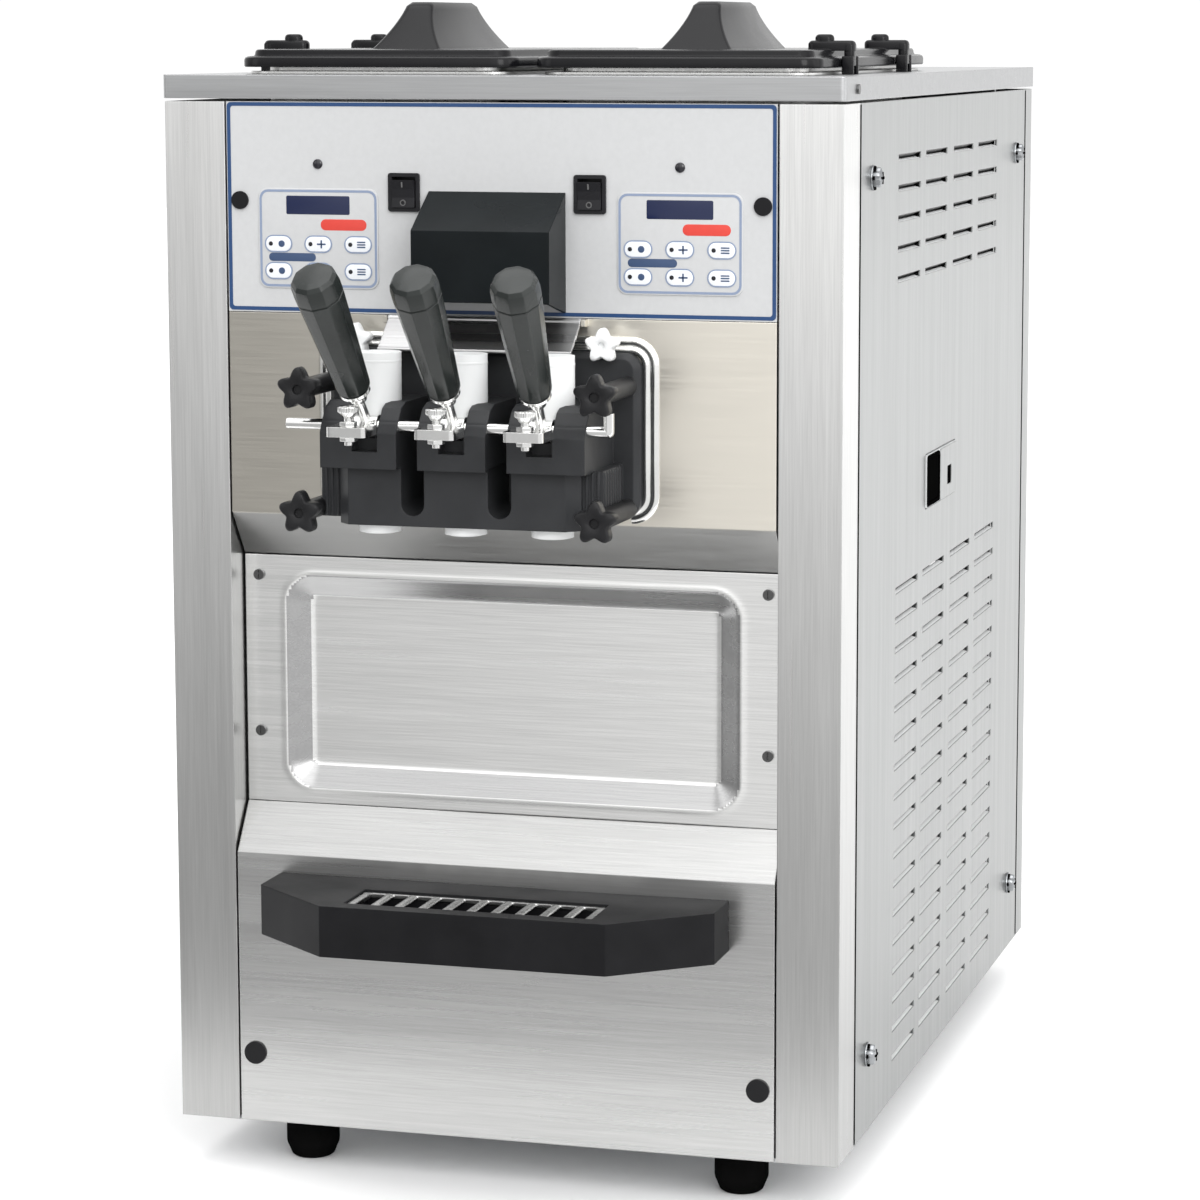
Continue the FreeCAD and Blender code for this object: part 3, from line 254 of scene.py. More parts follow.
M = {
    # foot paints shade on the lower ends of the side panels and corner posts
    "side_steel": brushed("side_steel", (0.46, 0.47, 0.467), "z", 0.32, foot=0.62),
    # pale matt colour on the louvre lips: painted light standing in for the sky their steel would reflect
    "lip_painted_light": printed("lip_painted_light", (0.78, 0.79, 0.79), 0.5),
    # darker copy of the side steel for the louvre slats: painted shade inside the slots
    "slat_shade_steel": brushed("slat_shade_steel", (0.16, 0.16, 0.16), "y", 0.45),
    "post_steel": brushed("post_steel", (0.86, 0.86, 0.85), "z", 0.30, foot=0.50),
    "front_steel": brushed("front_steel", (0.50, 0.50, 0.495), "x", 0.26),
    "splash_steel": brushed("splash_steel", (0.90, 0.90, 0.89), "x", 0.24),
    # darker copy of the splash steel: painted shade on the recess's sloping walls
    "recess_wall_shade_steel": brushed("recess_wall_shade_steel", (0.44, 0.44, 0.44), "x", 0.26),
    "screw_steel": polished("screw_steel", (0.13, 0.13, 0.13), 0.24),
    # the head plate's fold and left side are darkened with painted shade
    "warm_steel": painted_light_sheet(
        "warm_steel", (0.30, 0.30, 0.295), (0.86, 0.82, 0.735), place(0, 0, FOLD_Z).z
    ),
    "top_steel": brushed("top_steel", (0.48, 0.485, 0.49), "x", 0.30),
    "paddle_steel": brushed("paddle_steel", (0.55, 0.55, 0.55), "x", 0.28),
    "pan_steel": brushed("pan_steel", (0.65, 0.65, 0.64), "y", 0.28),
    "bright": polished("bright", (0.82, 0.82, 0.81)),
    "surround": polished("surround", (0.86, 0.86, 0.84), 0.16),
    "film": printed("film", SILVER, 0.42),
    "border_blue": printed("border_blue", (0.012, 0.05, 0.15)),
    "outline_blue": printed("outline_blue", (0.22, 0.27, 0.38)),
    "key_white": printed("key_white", (0.74, 0.76, 0.79)),
    "key_blue": printed("key_blue", (0.035, 0.065, 0.14)),
    "rocker_ink": printed("rocker_ink", (0.12, 0.12, 0.12)),
    "stripe_red": printed("stripe_red", (0.62, 0.05, 0.035)),
    "window": printed("window", NAVY, 0.12),
    "lamp": printed("lamp", (0.012, 0.012, 0.016), 0.18),
    "door_black": moulded("door_black", (0.030, 0.031, 0.033), 0.34, 0.10, 0.0014),
    "grip_black": moulded("grip_black", (0.015, 0.018, 0.017), 0.22, 0.10, 0.0007, gloss=0.42),
    "cover_black": moulded("cover_black", (0.007, 0.009, 0.010), 0.30, 0.14, gloss=0.12),
    "lid_black": moulded("lid_black", (0.005, 0.005, 0.006), 0.18, 0.04, gloss=0.2),
    "tray_black": moulded("tray_black", (0.009, 0.009, 0.010), 0.42, 0.18, 0.0016, gloss=0.10),
    "knob_black": moulded("knob_black", (0.012, 0.012, 0.013), 0.40, 0.18, 0.0012),
    "rocker_black": moulded("rocker_black", (0.014, 0.014, 0.016), 0.28, 0.06, 0.0006),
    "rubber": moulded("rubber", (0.004, 0.004, 0.004), 0.70, 0.30, 0.0014, gloss=0.0),
    "acetal": moulded("acetal", (0.86, 0.87, 0.87), 0.30, 0.03, 0.0008, mottle=0.02),
    "drawer_white": moulded("drawer_white", (0.60, 0.61, 0.61), 0.42, 0.06, 0.0008, mottle=0.02),
    # flat black standing in for shade in bolt recesses, panel gaps and the drawer's well and slot: painted
    # shade
    "painted_shade_black": moulded("painted_shade_black", (0.002, 0.002, 0.002), 0.85, 0.10, 0.0006, gloss=0.0),
    "bolt_steel": polished("bolt_steel", (0.30, 0.31, 0.32), 0.18),
    "plug_black": moulded("plug_black", (0.006, 0.006, 0.007), 0.45, 0.10, 0.0006),
    "zinc": brushed("zinc", (0.52, 0.53, 0.54), "x", 0.45),
    "enamel": moulded("enamel", (0.015, 0.015, 0.016), 0.25, 0.05),
    "casting": moulded("casting", (0.20, 0.21, 0.22), 0.50, 0.25, 0.0012, 500),
    "fins": brushed("fins", (0.66, 0.67, 0.68), "z", 0.40),
}

# CAD nodes that keep their own shape, and the material each wears
NODE_MATERIALS = {
    "side_steel": ["left_side_panel", "right_side_panel", "rear_corner_posts", "rear_panel"],
    "post_steel": ["front_corner_posts"],
    "front_steel": ["lower_front_panel"],
    "warm_steel": ["head_plate"],
    "top_steel": ["top_deck"],
    "paddle_steel": ["switch_paddle"],
    "pan_steel": ["hoppers", "freezing_cylinders", "left_beater", "right_beater"],
    "bright": ["pivot_rod", "door_studs", "left_lever", "middle_lever", "right_lever"],
    "screw_steel": ["front_panel_screws"],
    "film": ["control_fascia"],
    "door_black": ["dispensing_head"],
    "cover_black": ["power_inlet", "switch_cover", "fan"],
    "tray_black": ["drip_tray"],
    "drawer_white": ["seal_drip_drawer"],
    "rocker_black": ["rocker_bezels", "left_rocker", "right_rocker"],
    "rubber": ["head_gaskets"],
    "acetal": ["nozzle_caps", "left_draw_valve", "middle_draw_valve", "right_draw_valve"],
    "plug_black": ["hole_plugs"],
    "zinc": ["base_pan", "bulkhead", "control_box"],
    "enamel": ["compressor"],
    "casting": ["gear_motors", "fan_motor"],
    "fins": ["condenser"],
}


def dress(obj, material):
    """Give an object one material and no other."""
    obj.data.materials.clear()
    obj.data.materials.append(material)


for material_name, members in NODE_MATERIALS.items():
    for member in members:
        dress(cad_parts[member], M[material_name])


# ---------------------------------------------------------------- mesh building


def rounded_outline(x0, x1, y0, y1, radius, steps=5):
    """Corner-rounded rectangle as a list of flat points, anticlockwise."""
    radius = max(0.05, min(radius, (x1 - x0) / 2 - 0.01, (y1 - y0) / 2 - 0.01))
    centres = [
        (x1 - radius, y0 + radius), (x1 - radius, y1 - radius),
        (x0 + radius, y1 - radius), (x0 + radius, y0 + radius),
    ]
    points = []
    for corner, (cx, cy) in enumerate(centres):
        for step in range(steps + 1):
            turn = math.pi / 2 * (corner - 1 + step / steps)
            points.append((cx + radius * math.cos(turn), cy + radius * math.sin(turn)))
    return points


def on_plane(axis, level, outline):
    """Put flat points on the plane across one axis, in cabinet millimetres."""
    if axis == "x":
        return [place(level, a, b) for a, b in outline]
    if axis == "y":
        return [place(a, level, b) for a, b in outline]
    return [place(a, b, level) for a, b in outline]


def circle(cx, cy, radius, steps):
    """Round outline as a list of flat points."""
    turns = [2 * math.pi * i / steps for i in range(steps)]
    return [(cx + radius * math.cos(turn), cy + radius * math.sin(turn)) for turn in turns]


WELD = 0.000005  # metres


class Shape:
    """Collects lofted skins and turns them into one mesh object."""

    def __init__(self):
        self.points = []
        self.faces = []

    def loft(self, rings, caps=True):
        """Skin through rings that have the same number of points."""
        first = len(self.points)
        count = len(rings[0])
        for ring in rings:
            self.points += ring
        for level in range(len(rings) - 1):
            for i in range(count):
                j = (i + 1) % count
                a = first + level * count
                b = a + count
                self.faces.append((a + i, a + j, b + j, b + i))
        if caps:
            last = first + (len(rings) - 1) * count
            self.faces.append(tuple(range(first + count - 1, first - 1, -1)))
            self.faces.append(tuple(range(last, last + count)))
        return self

    def pillow(self, axis, x0, x1, y0, y1, base, top, radius, edge):
        """Rounded-corner block whose edges at the top level are rounded off."""
        way = 1 if top > base else -1
        rings = [on_plane(axis, base, rounded_outline(x0, x1, y0, y1, radius))]
        for step in range(5):
            turn = math.pi / 2 * step / 4
            inset = edge * (1 - math.cos(turn))
            level = top - way * edge * (1 - math.sin(turn))
            corner = radius - inset * 0.6
            outline = rounded_outline(x0 + inset, x1 - inset, y0 + inset, y1 - inset, corner)
            rings.append(on_plane(axis, level, outline))
        return self.loft(rings)

    def frame(self, axis, outer, inner, back, front):
        """Flat ring between two outlines that have the same number of points."""
        rings = [
            on_plane(axis, back, inner), on_plane(axis, back, outer),
            on_plane(axis, front, outer), on_plane(axis, front, inner), on_plane(axis, back, inner),
        ]
        return self.loft(rings, caps=False)

    def lathe(self, profile, base, direction, steps=40):
        """Turn (radius, height) pairs about a line from base, all in millimetres."""
        return self.loft([ring_about(base, direction, r, h, steps) for r, h in profile])

    def build(self, name, material, body, sharp=35, replaces=()):
        """Make the object, with edges above the sharp angle left hard, and set what it rides on."""
        mesh = bpy.data.meshes.new(name)
        mesh.from_pydata([tuple(p) for p in self.points], [], self.faces)
        work = bmesh.new()
        work.from_mesh(mesh)
        bmesh.ops.remove_doubles(work, verts=work.verts, dist=WELD)
        bmesh.ops.recalc_face_normals(work, faces=work.faces)
        for face in work.faces:
            face.smooth = True
        for edge in work.edges:
            edge.smooth = len(edge.link_faces) == 2 and edge.calc_face_angle(0) < math.radians(sharp)
        work.to_mesh(mesh)
        work.free()
        obj = bpy.data.objects.new(name, mesh)
        bpy.context.scene.collection.objects.link(obj)
        dress(obj, material)
        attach(obj, body)
        if replaces:
            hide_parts(*replaces)
        return obj


def basis(direction):
    """Two unit vectors across a direction."""
    helper = Vector((1, 0, 0)) if abs(direction.x) < 0.8 else Vector((0, 1, 0))
    across = direction.cross(helper).normalized()
    return across, direction.cross(across).normalized()


def ring_about(base, direction, radius, height, steps=40, shape=None):
    """Ring of points about a line; shape(turn) scales the radius."""
    across, other = basis(direction)
    centre = place(*base) + direction * (height / 1000)
    ring = []
    for index in range(steps):
        turn = 2 * math.pi * index / steps
        reach = radius * (shape(turn) if shape else 1) / 1000
        ring.append(centre + (across * math.cos(turn) + other * math.sin(turn)) * reach)
    return ring


# ---------------------------------------------------------------- controls

KEYPAD_X = 135.0
KEYPAD = (91.6, 72.0)
KEYPAD_Z = 660.0
KEY_STEP = 30.5
KEY_ROWS = (636.5, 656.0)
PRINT_BACK = -0.8  # y where the print starts, just inside the overlay
MARK_BACK = -1.4  # y where the marks start, just inside a key's face
MARK_FRONT = -1.72
# Half width, half height, drop and corner radius of each bar in the three plain key marks
KEY_MARKS = (
    ((2.4, 2.4, 0, 2.3),),
    ((3.4, 0.6, 0, 0.5), (0.6, 3.0, 0, 0.5)),
    ((3.2, 0.5, -1.8, 0.4), (3.2, 0.5, 0, 0.4), (3.2, 0.5, 1.8, 0.4)),
)
WINDOW = (48.6, 13.5)
WINDOW_Z = 684.0
LAMP_Z = 713.5
ROCKER_X = 69.3
ROCKER_Z = 694
ROCKER_TILT = 8  # degrees, at rest


def outline_about(cx, cz, width, height, radius):
    """Corner-rounded rectangle about its middle."""
    return rounded_outline(cx - width / 2, cx + width / 2, cz - height / 2, cz + height / 2, radius)


def fascia_border():
    """Printed blue line round the control fascia."""
    border = Shape()
    outer = rounded_outline(-204.5, 204.5, 607.5, 757.5, 3)
    inner = rounded_outline(-201.8, 201.8, 610.2, 754.8, 2)
    border.frame("y", outer, inner, 0, -0.2)
    border.build("fascia_border", M["border_blue"], "cabinet")


def keypads():
    """Overlay sheets with a printed outline, stripe and band, and raised keys with lamps and marks."""
    sheets, outlines, keys, rims, lamps, marks, stripes, bands = [Shape() for _ in range(8)]
    for side in (-1, 1):
        x = side * KEYPAD_X
        w, h = KEYPAD
        sheets.pillow("y", x - w / 2, x + w / 2, KEYPAD_Z - h / 2, KEYPAD_Z + h / 2, 0, -0.9, 7, 0.4)
        outer = outline_about(x, KEYPAD_Z, w - 2, h - 2, 6.5)
        inner = outline_about(x, KEYPAD_Z, w - 5.4, h - 5.4, 5)
        outlines.frame("y", outer, inner, PRINT_BACK, -1.05)
        stripes.pillow("y", x + 2, x + 37, 666.0, 674.0, PRINT_BACK, -1.0, 3.8, 0.05)
        bands.pillow("y", x - 38, x - 2, 643.4, 649.4, PRINT_BACK, -1.0, 2.8, 0.05)
        for row, z in enumerate(KEY_ROWS):
            for step in (-1, 0, 1):
                kx = x + step * KEY_STEP
                keys.pillow("y", kx - 9.6, kx + 9.6, z - 5.3, z + 5.3, PRINT_BACK, -1.55, 5.0, 0.35)
                outer = outline_about(kx, z, 21.2, 12.6, 6.2)
                inner = outline_about(kx, z, 19.0, 10.4, 5.1)
                rims.frame("y", outer, inner, PRINT_BACK, -1.3)
                lamps.pillow("y", kx - 7.4, kx - 4.2, z - 1.6, z + 1.6, MARK_BACK, -1.75, 1.55, 0.15)
                key_mark(marks, kx + 2.5, z, row * 3 + step + 1)
    sheets.build("keypad_sheets", M["film"], "cabinet", replaces=("keypads",))
    outlines.build("keypad_outlines", M["outline_blue"], "cabinet")
    keys.build("key_domes", M["key_white"], "cabinet")
    rims.build("key_rims", M["outline_blue"], "cabinet")
    lamps.build("key_lamps", M["lamp"], "cabinet")
    marks.build("key_marks", M["key_blue"], "cabinet")
    stripes.build("keypad_stripes", M["stripe_red"], "cabinet")
    bands.build("keypad_bands", M["key_blue"], "cabinet")


def key_mark(shape, x, z, kind):
    """Plain mark on a key: a disc, a plus or three bars."""
    for half_x, half_z, drop, corner in KEY_MARKS[kind % 3]:
        low, high = z + drop - half_z, z + drop + half_z
        shape.pillow("y", x - half_x, x + half_x, low, high, MARK_BACK, MARK_FRONT, corner, 0.1)


def display_windows():
    """Dark windows over the display lenses, and a domed indicator lamp above each keypad."""
    windows, lamps = Shape(), Shape()
    half_w, half_h = WINDOW[0] / 2, WINDOW[1] / 2
    low, high = WINDOW_Z - half_h, WINDOW_Z + half_h
    for side in (-1, 1):
        x = side * KEYPAD_X
        windows.pillow("y", x - half_w, x + half_w, low, high, 0.5, -1.15, 1.2, 0.4)
        lamps.lathe([(3.6, 0), (3.5, 0.8), (2.6, 1.5), (0.8, 1.9)], (x, 0, LAMP_Z), FORWARD)
    windows.build("display_windows", M["window"], "cabinet", replaces=("display_lenses",))
    lamps.build("indicator_lamps", M["lamp"], "cabinet")


def rocker_marks():
    """The line and ring that mark on and off, one pair on each rocker."""
    for name, side in (("left", -1), ("right", 1)):
        x = side * ROCKER_X
        tilt = Matrix.Rotation(math.radians(ROCKER_TILT), 4, "X")
        centre = place(x, 2, ROCKER_Z)
        marks = Shape()
        marks.pillow("y", x - 0.5, x + 0.5, 698.6, 702.6, -4.2, -5.3, 0.4, 0.1)
        marks.frame("y", circle(x, 687.5, 2.2, 24), circle(x, 687.5, 1.5, 24), -3.9, -5.05)
        marks.points = [centre + tilt @ (p - centre) for p in marks.points]
        marks.build(name + "_rocker_marks", M["rocker_ink"], name + "_rocker_body")


# ---------------------------------------------------------------- sheet metal


def soft_ramp(t, ease=0.12):
    """0 below 0 and 1 above 1, straight between them but for a short curve at each end."""
    if t <= -ease:
        return 0.0
    if t >= 1 + ease:
        return 1.0
    if t < ease:
        return (t + ease) ** 2 / (4 * ease)
    if t > 1 - ease:
        return 1 - (1 + ease - t) ** 2 / (4 * ease)
    return t


def splash_panel():
    """Pressed panel: a shallow recess with rounded corners and a soft raised lip round it."""
    columns, rows = 205, 116
    x0, x1, z0, z1 = -205.0, 205.0, 240.0, 425.0
    half_w, half_h, centre_z, corner = 172.0, 79.0, 331.0, 20.0
    face, thickness, recess, slope = 24, 1.2, 9.0, 16.0
    lip_rise, lip_place, lip_width = 0.5, 1.5, 2.2
    skin = Shape()
    for back in (0.0, thickness):
        for row in range(rows + 1):
            for column in range(columns + 1):
                x = x0 + (x1 - x0) * column / columns
                z = z0 + (z1 - z0) * row / rows
                dx = max(abs(x) - half_w + corner, 0)
                dz = max(abs(z - centre_z) - half_h + corner, 0)
                inside = min(half_w - abs(x), half_h - abs(z - centre_z))
                if dx > 0 and dz > 0:
                    inside = corner - math.hypot(dx, dz)
                depth = recess * soft_ramp(inside / slope)
                lip = lip_rise * math.exp(-((inside + lip_place) / lip_width) ** 2)
                skin.points.append(place(x, face + depth - lip + back, z))
    width = columns + 1
    layer = width * (rows + 1)
    for row in range(rows):
        for column in range(columns):
            a = row * width + column
            skin.faces.append((a, a + 1, a + 1 + width, a + width))
            b = a + layer
            skin.faces.append((b, b + width, b + 1 + width, b + 1))
    rim = list(range(width))
    rim += [r * width + columns for r in range(1, rows + 1)]
    rim += [rows * width + c for c in range(columns - 1, -1, -1)]
    rim += [r * width for r in range(rows - 1, 0, -1)]
    for index, a in enumerate(rim):
        b = rim[(index + 1) % len(rim)]
        skin.faces.append((a, a + layer, b + layer, b))
    name, steel = "pressed_splash_panel", M["splash_steel"]
    panel = skin.build(name, steel, "cabinet", replaces=("splash_panel",))
    # The sloping walls of the recess wear a darker copy of the steel as painted shade
    panel.data.materials.append(M["recess_wall_shade_steel"])
    shade_tilt = 0.3  # sine of the least tilt whose faces take the darker steel of painted shade
    for polygon in panel.data.polygons:
        if max(abs(polygon.normal.x), abs(polygon.normal.z)) > shade_tilt:
            polygon.material_index = 1


LOUVRE_COLUMNS = ((183.0, 266.0), (285.0, 370.0), (395.0, 478.0), (500.0, 585.0))
LOUVRE_PITCH = 22.5
LOUVRE_ROWS = ((718.0, 5), (394.0, 17))


def louvre_slats(side):
    """Each slot's metal bent inwards: a slat down from its upper edge, a lip along the lower."""
    slats, lips = Shape(), Shape()
    lip = [(0, -5.9), (2.2, -5.3), (3.7, -4.6), (4.1, -4.0), (3.7, -3.9), (2.2, -4.5), (0, -5.0)]
    wall = SIDE_X - 0.75

    def section(y, head, profile):
        return [place(side * (wall - depth), y, head + rise) for depth, rise in profile]

    for y0, y1 in LOUVRE_COLUMNS:
        for top, rows in LOUVRE_ROWS:
            for row in range(rows):
                head = top - row * LOUVRE_PITCH
                rings = []
                for y in (y0 + 0.3, y0 + 4, y1 - 4, y1 - 0.3):
                    lean = 1.0 if y0 + 1 < y < y1 - 1 else 0.72  # shallower at both ends
                    front = [(0, -0.5), (2.2, -1.4), (5.6 * lean, -3.2 * lean), (8.6 * lean, -6.4 * lean)]
                    back = [(9.3 * lean, -5.9 * lean), (6.2 * lean, -2.4 * lean), (2.8, -0.5), (0, 0.6)]
                    rings.append(section(y, head, front + back))
                slats.loft(rings)
                lips.loft([section(y, head, lip) for y in (y0 + 0.3, y1 - 0.3)])
    name = "right" if side > 0 else "left"
    # the lips wear a pale matt colour as painted light
    lips.build(name + "_louvre_lips", M["lip_painted_light"], "cabinet", sharp=60)
    # the slats wear a darker copy of the side steel as painted shade
    slats.build(name + "_louvre_slats", M["slat_shade_steel"], "cabinet", sharp=60)


def scallop(turn):
    """Radius factor of a thumb bolt's head."""
    return 1 + 0.10 * math.cos(5 * turn)


def thumb_bolts():
    """Washer, scalloped head and crown, four a side, with black pieces that paint shade in the head's five
    pits and the crown's cross recess.
    """
    bolts, recess_shades = Shape(), Shape()
    crown, pit_ring = 7.0, 7.6
    places = [(side, y, z) for side in (-1, 1) for y in (94.7, 675.5) for z in (58.7, 704.0)]
    for side, y, z in places:
        out = Vector((side, 0, 0))
        base = (side * SIDE_X, y, z)
        bolts.lathe([(4, -6), (9.0, 0), (9.2, 0.4), (9.0, 1.2), (7.4, 1.4)], base, out, 36)
        profile = [(6.4, 1.3), (6.9, 1.8), (6.9, 5.2), (6.3, 6.2), (4.6, 7.0), (2.2, 7.3)]
        bolts.loft([ring_about(base, out, r, h, 80, scallop if r > 6 else None) for r, h in profile])
        level = side * (SIDE_X + crown)
        for half_y, half_z in ((4.4, 1.0), (1.0, 4.4)):
            y0, y1, z0, z1 = y - half_y, y + half_y, z - half_z, z + half_z
            recess_shades.pillow("x", y0, y1, z0, z1, level - side * 2, level + side * 0.5, 0.6, 0.1)
        for index in range(5):
            turn = 2 * math.pi * (index + 0.5) / 5
            pit = (side * SIDE_X, y + pit_ring * math.cos(turn), z + pit_ring * math.sin(turn))
            recess_shades.lathe([(1.5, 1.0), (1.5, 2.4), (1.2, 2.8)], pit, out, 14)
    bolts.build("thumb_bolts", M["bolt_steel"], "cabinet", replaces=("side_thumb_bolts",))
    # black pieces paint the shade in the bolts' pits and cross recesses
    recess_shades.build("bolt_recess_shadows", M["painted_shade_black"], "cabinet")


def panel_gap_shadows():
    """Dark strips where the corner posts meet each side panel, painting the shade in the gaps between them.
    """
    gap_shades = Shape()
    for side in (-1, 1):
        sunk, proud = side * SIDE_X - side * 0.6, side * SIDE_X + side * 0.25
        for y in (52.5, 718.5):
            gap_shades.pillow("x", y - 1.7, y + 1.7, 2.0, 757.0, sunk, proud, 0.5, 0.1)
    gap_shades.build("panel_gap_shadows", M["painted_shade_black"], "cabinet")


def hinge_brackets():
    """Moulded covers over the steel lugs that carry the lid pins."""
    covers = Shape()
    for side in (-1, 1):
        x0, x1 = sorted((side * 220.6, side * 229.4))
        for clip in LID_CLIP_Y:
            for y in (clip - 8.0, clip + 8.0):
                covers.pillow("z", x0, x1, y - 1.7, y + 1.7, 777.05, 790.2, 1.2, 1.0)
    covers.build("hinge_bracket_covers", M["lid_black"], "cabinet")


def door_surround():
    """Raised double bead round the door; its lower corners turn in under the door's flange."""
    half, low, top, radius = 121.7, 466.8, 587.8, 14.0
    reach, height = 6.3, 3.0
    groove_pitch, groove_depth = 6.8, 0.55
    path = []
    corners = ((-1, low + radius, 270), (-1, top - radius, 180), (1, top - radius, 90), (1, low + radius, 0))
    for side, centre_z, start in corners:
        for step in range(9):
            turn = math.radians(start - 90 * step / 8)
            out_x, out_z = math.cos(turn), math.sin(turn)
            path.append((side * (half - radius) + radius * out_x, centre_z + radius * out_z, out_x, out_z))
    rings = []
    for x, z, out_x, out_z in path:
        ring = []
        for step in range(25):
            turn = math.pi * step / 24
            across = reach * math.cos(turn)
            groove = 0.5 + 0.5 * math.cos(2 * math.pi * across / groove_pitch)
            rise = height * math.sin(turn) ** 0.6 * (1 - groove_depth * groove)
            ring.append(place(HEAD_X + x + out_x * across, -rise, z + out_z * across))
        rings.append(ring)
    bead = Shape().loft(rings)
    bead.build("door_bead", M["surround"], "cabinet", sharp=60, replaces=("door_surround",))


def rubber_feet():
    """Round feet that flare from a rounded sole."""
    feet = Shape()
    height = 38
    profile = [
        (12, 0), (14.5, 0.3), (16.2, 1.6), (18.8, 8.0), (19.6, 9.6),
        (20, 12), (20, 35), (19.2, 37), (16, height),
    ]
    for x in (-168.0, 168.0):
        for y in (52.0, 698.0):
            feet.lathe(profile, (x, y, -height), UP, 48)
    feet.build("moulded_feet", M["rubber"], "cabinet", replaces=("rubber_feet",))


# ---------------------------------------------------------------- lids

# Inset, level and corner radius of each ring up a lid, from under its skirt to its top
LID_RINGS = (
    (10.5, 791.2, 8), (10.3, 788.0, 8), (3.0, 787.6, 13), (2.6, 782.2, 14), (0.8, 782.0, 16),
    (0, 783.0, 17), (0, 787.2, 17), (0.6, 788.8, 17), (2.4, 789.8, 16), (6.2, 790.2, 14),
    (7.0, 791.0, 13), (7.4, 793.4, 13), (8.4, 794.6, 12), (10.5, 795, 11),
)
# Inner and outer x, half width, foot, top, corner radius and edge of each block of a hinge clip
CLIP_BLOCKS = (
    (194.0, 229.0, 6, 794.0, 801.5, 5, 3),
    (199.0, 213.0, 5, 800.5, 806.0, 5, 3),
    (221.3, 228.7, 5.9, 783.2, 800.0, 2.5, 2),
)


def hopper_lid(name, side):
    """Skirted two-step lid with its flared handle and two hinge clips in one moulding."""
    lid = Shape()
    rings = []
    for inset, level, corner in LID_RINGS:
        x0, x1 = sorted((side * (7 + inset), side * (220 - inset)))
        outline = rounded_outline(x0, x1, 60 + inset, 445 - inset, corner, 8)
        rings.append(on_plane("z", level, outline))
    lid.loft(rings)
    centre_x, centre_y, steps = side * 112.0, 212.5, 12
    rings = []
    for step in range(steps + 1):
        rise = step / steps
        length = 175 - 70 * rise
        width = 21 + 33 * (1 - rise) ** 1.7
        if step == steps:
            length -= 5
            width -= 5
        x0, x1 = centre_x - width / 2, centre_x + width / 2
        y0, y1 = centre_y - length / 2, centre_y + length / 2
        rings.append(on_plane("z", 794.8 + 35.2 * rise, rounded_outline(x0, x1, y0, y1, 4)))
    lid.loft(rings)
    for y in LID_CLIP_Y:
        for inner, outer, half, foot, top, corner, edge in CLIP_BLOCKS:
            x0, x1 = sorted((side * inner, side * outer))
            lid.pillow("z", x0, x1, y - half, y + half, foot, top, corner, edge)
    lid.build(name + "_moulded_lid", M["lid_black"], name + "_lid_body", replaces=(name + "_lid",))


# ---------------------------------------------------------------- dispensing head

LEVER_LEAN = 38.0  # degrees forward of upright, at rest
GRIP_SIDES = 10
GRIP_TRIM = 0.985  # scale on the grip's radii


def lever_axis(splay):
    """Direction of a lever's grip, which splays sideways by so many degrees."""
    lean = math.radians(LEVER_LEAN)
    out = math.radians(splay)
    return Vector((math.sin(out), -math.sin(lean) * math.cos(out), math.cos(lean) * math.cos(out)))


def lever_grip(name, x, splay):
    """Ten-sided grip with a domed cap and a groove under it, and the bright ferrule at its foot."""
    axis = lever_axis(splay)
    base = (x, PIVOT_Y, PIVOT_Z)
    facets = facet(GRIP_SIDES)
    profile = [
        (5.0, 35.6), (10.8, 35.6), (12.2, 37.0), (12.7, 40), (14.9, 78), (17.0, 116), (17.3, 122.0),
        (16.4, 122.5), (16.4, 123.1), (17.4, 123.6), (17.4, 132), (16.6, 136.6), (14.4, 139.4), (9.5, 140.5),
    ]
    body = name + "_lever_body"
    grip = Shape().loft([ring_about(base, axis, r * GRIP_TRIM, h, 60, facets) for r, h in profile])
    grip.build(name + "_faceted_grip", M["grip_black"], body, 14, (name + "_grip",))
    ferrule = Shape()
    ferrule.lathe([
        (4.1, 25), (6.6, 25.2), (7.0, 26.4), (7.0, 29), (9.4, 31), (11.2, 33), (11.0, 35.2), (4.1, 35.4),
    ], base, axis)
    ferrule.build(name + "_grip_ferrule", M["bright"], body)


def facet(sides):
    """Radius factor of a polygon with softened corners."""
    step = 2 * math.pi / sides

    def factor(turn):
        off = (turn + 1e-9) % step - step / 2
        return min(math.cos(step / 2) / math.cos(off), 0.992)

    return factor


# (radius, height) outlines of the parts on a lever's adjusting screw, and of the pivot's washers
SCREW_HEAD = [(3.4, 9.0), (4.4, 10.0), (6.6, 12.6), (7.2, 13.4), (7.2, 16.4), (6.4, 17.3), (3.2, 17.5)]
LOCK_NUTS = (
    [(5.6, 3.0), (6.2, 3.4), (6.2, 6.2), (5.6, 6.6)],
    [(5.6, -7.4), (6.2, -7.0), (6.2, -4.6), (5.6, -4.0)],
)
PIVOT_WASHER = [(4.3, 8.0), (7.6, 8.0), (7.8, 8.2), (7.6, 8.7), (4.3, 8.7)]


def knurl(turn):
    """Radius factor of a knurled rim."""
    return 1 + 0.035 * math.cos(28 * turn)


def lever_fittings(name, x):
    """Knurled adjusting screw with two lock nuts on a lever's front arm, and its pivot's washers."""
    base = (x, PIVOT_Y - 39, PIVOT_Z)
    fittings = Shape()
    fittings.loft([ring_about(base, UP, r, h, 112, knurl if r > 7 else None) for r, h in SCREW_HEAD])
    for nut in LOCK_NUTS:
        fittings.loft([ring_about(base, UP, r, h, 48, facet(6)) for r, h in nut])
    for side in (RIGHT, -RIGHT):
        fittings.lathe(PIVOT_WASHER, (x, PIVOT_Y, PIVOT_Z), side)
    fittings.build(name + "_adjusting_fittings", M["bright"], name + "_lever_body")


STAR_DEPTH = 12


def star(turn):
    """Radius factor of a five-lobed star."""
    return 0.83 + 0.17 * math.cos(5 * turn)


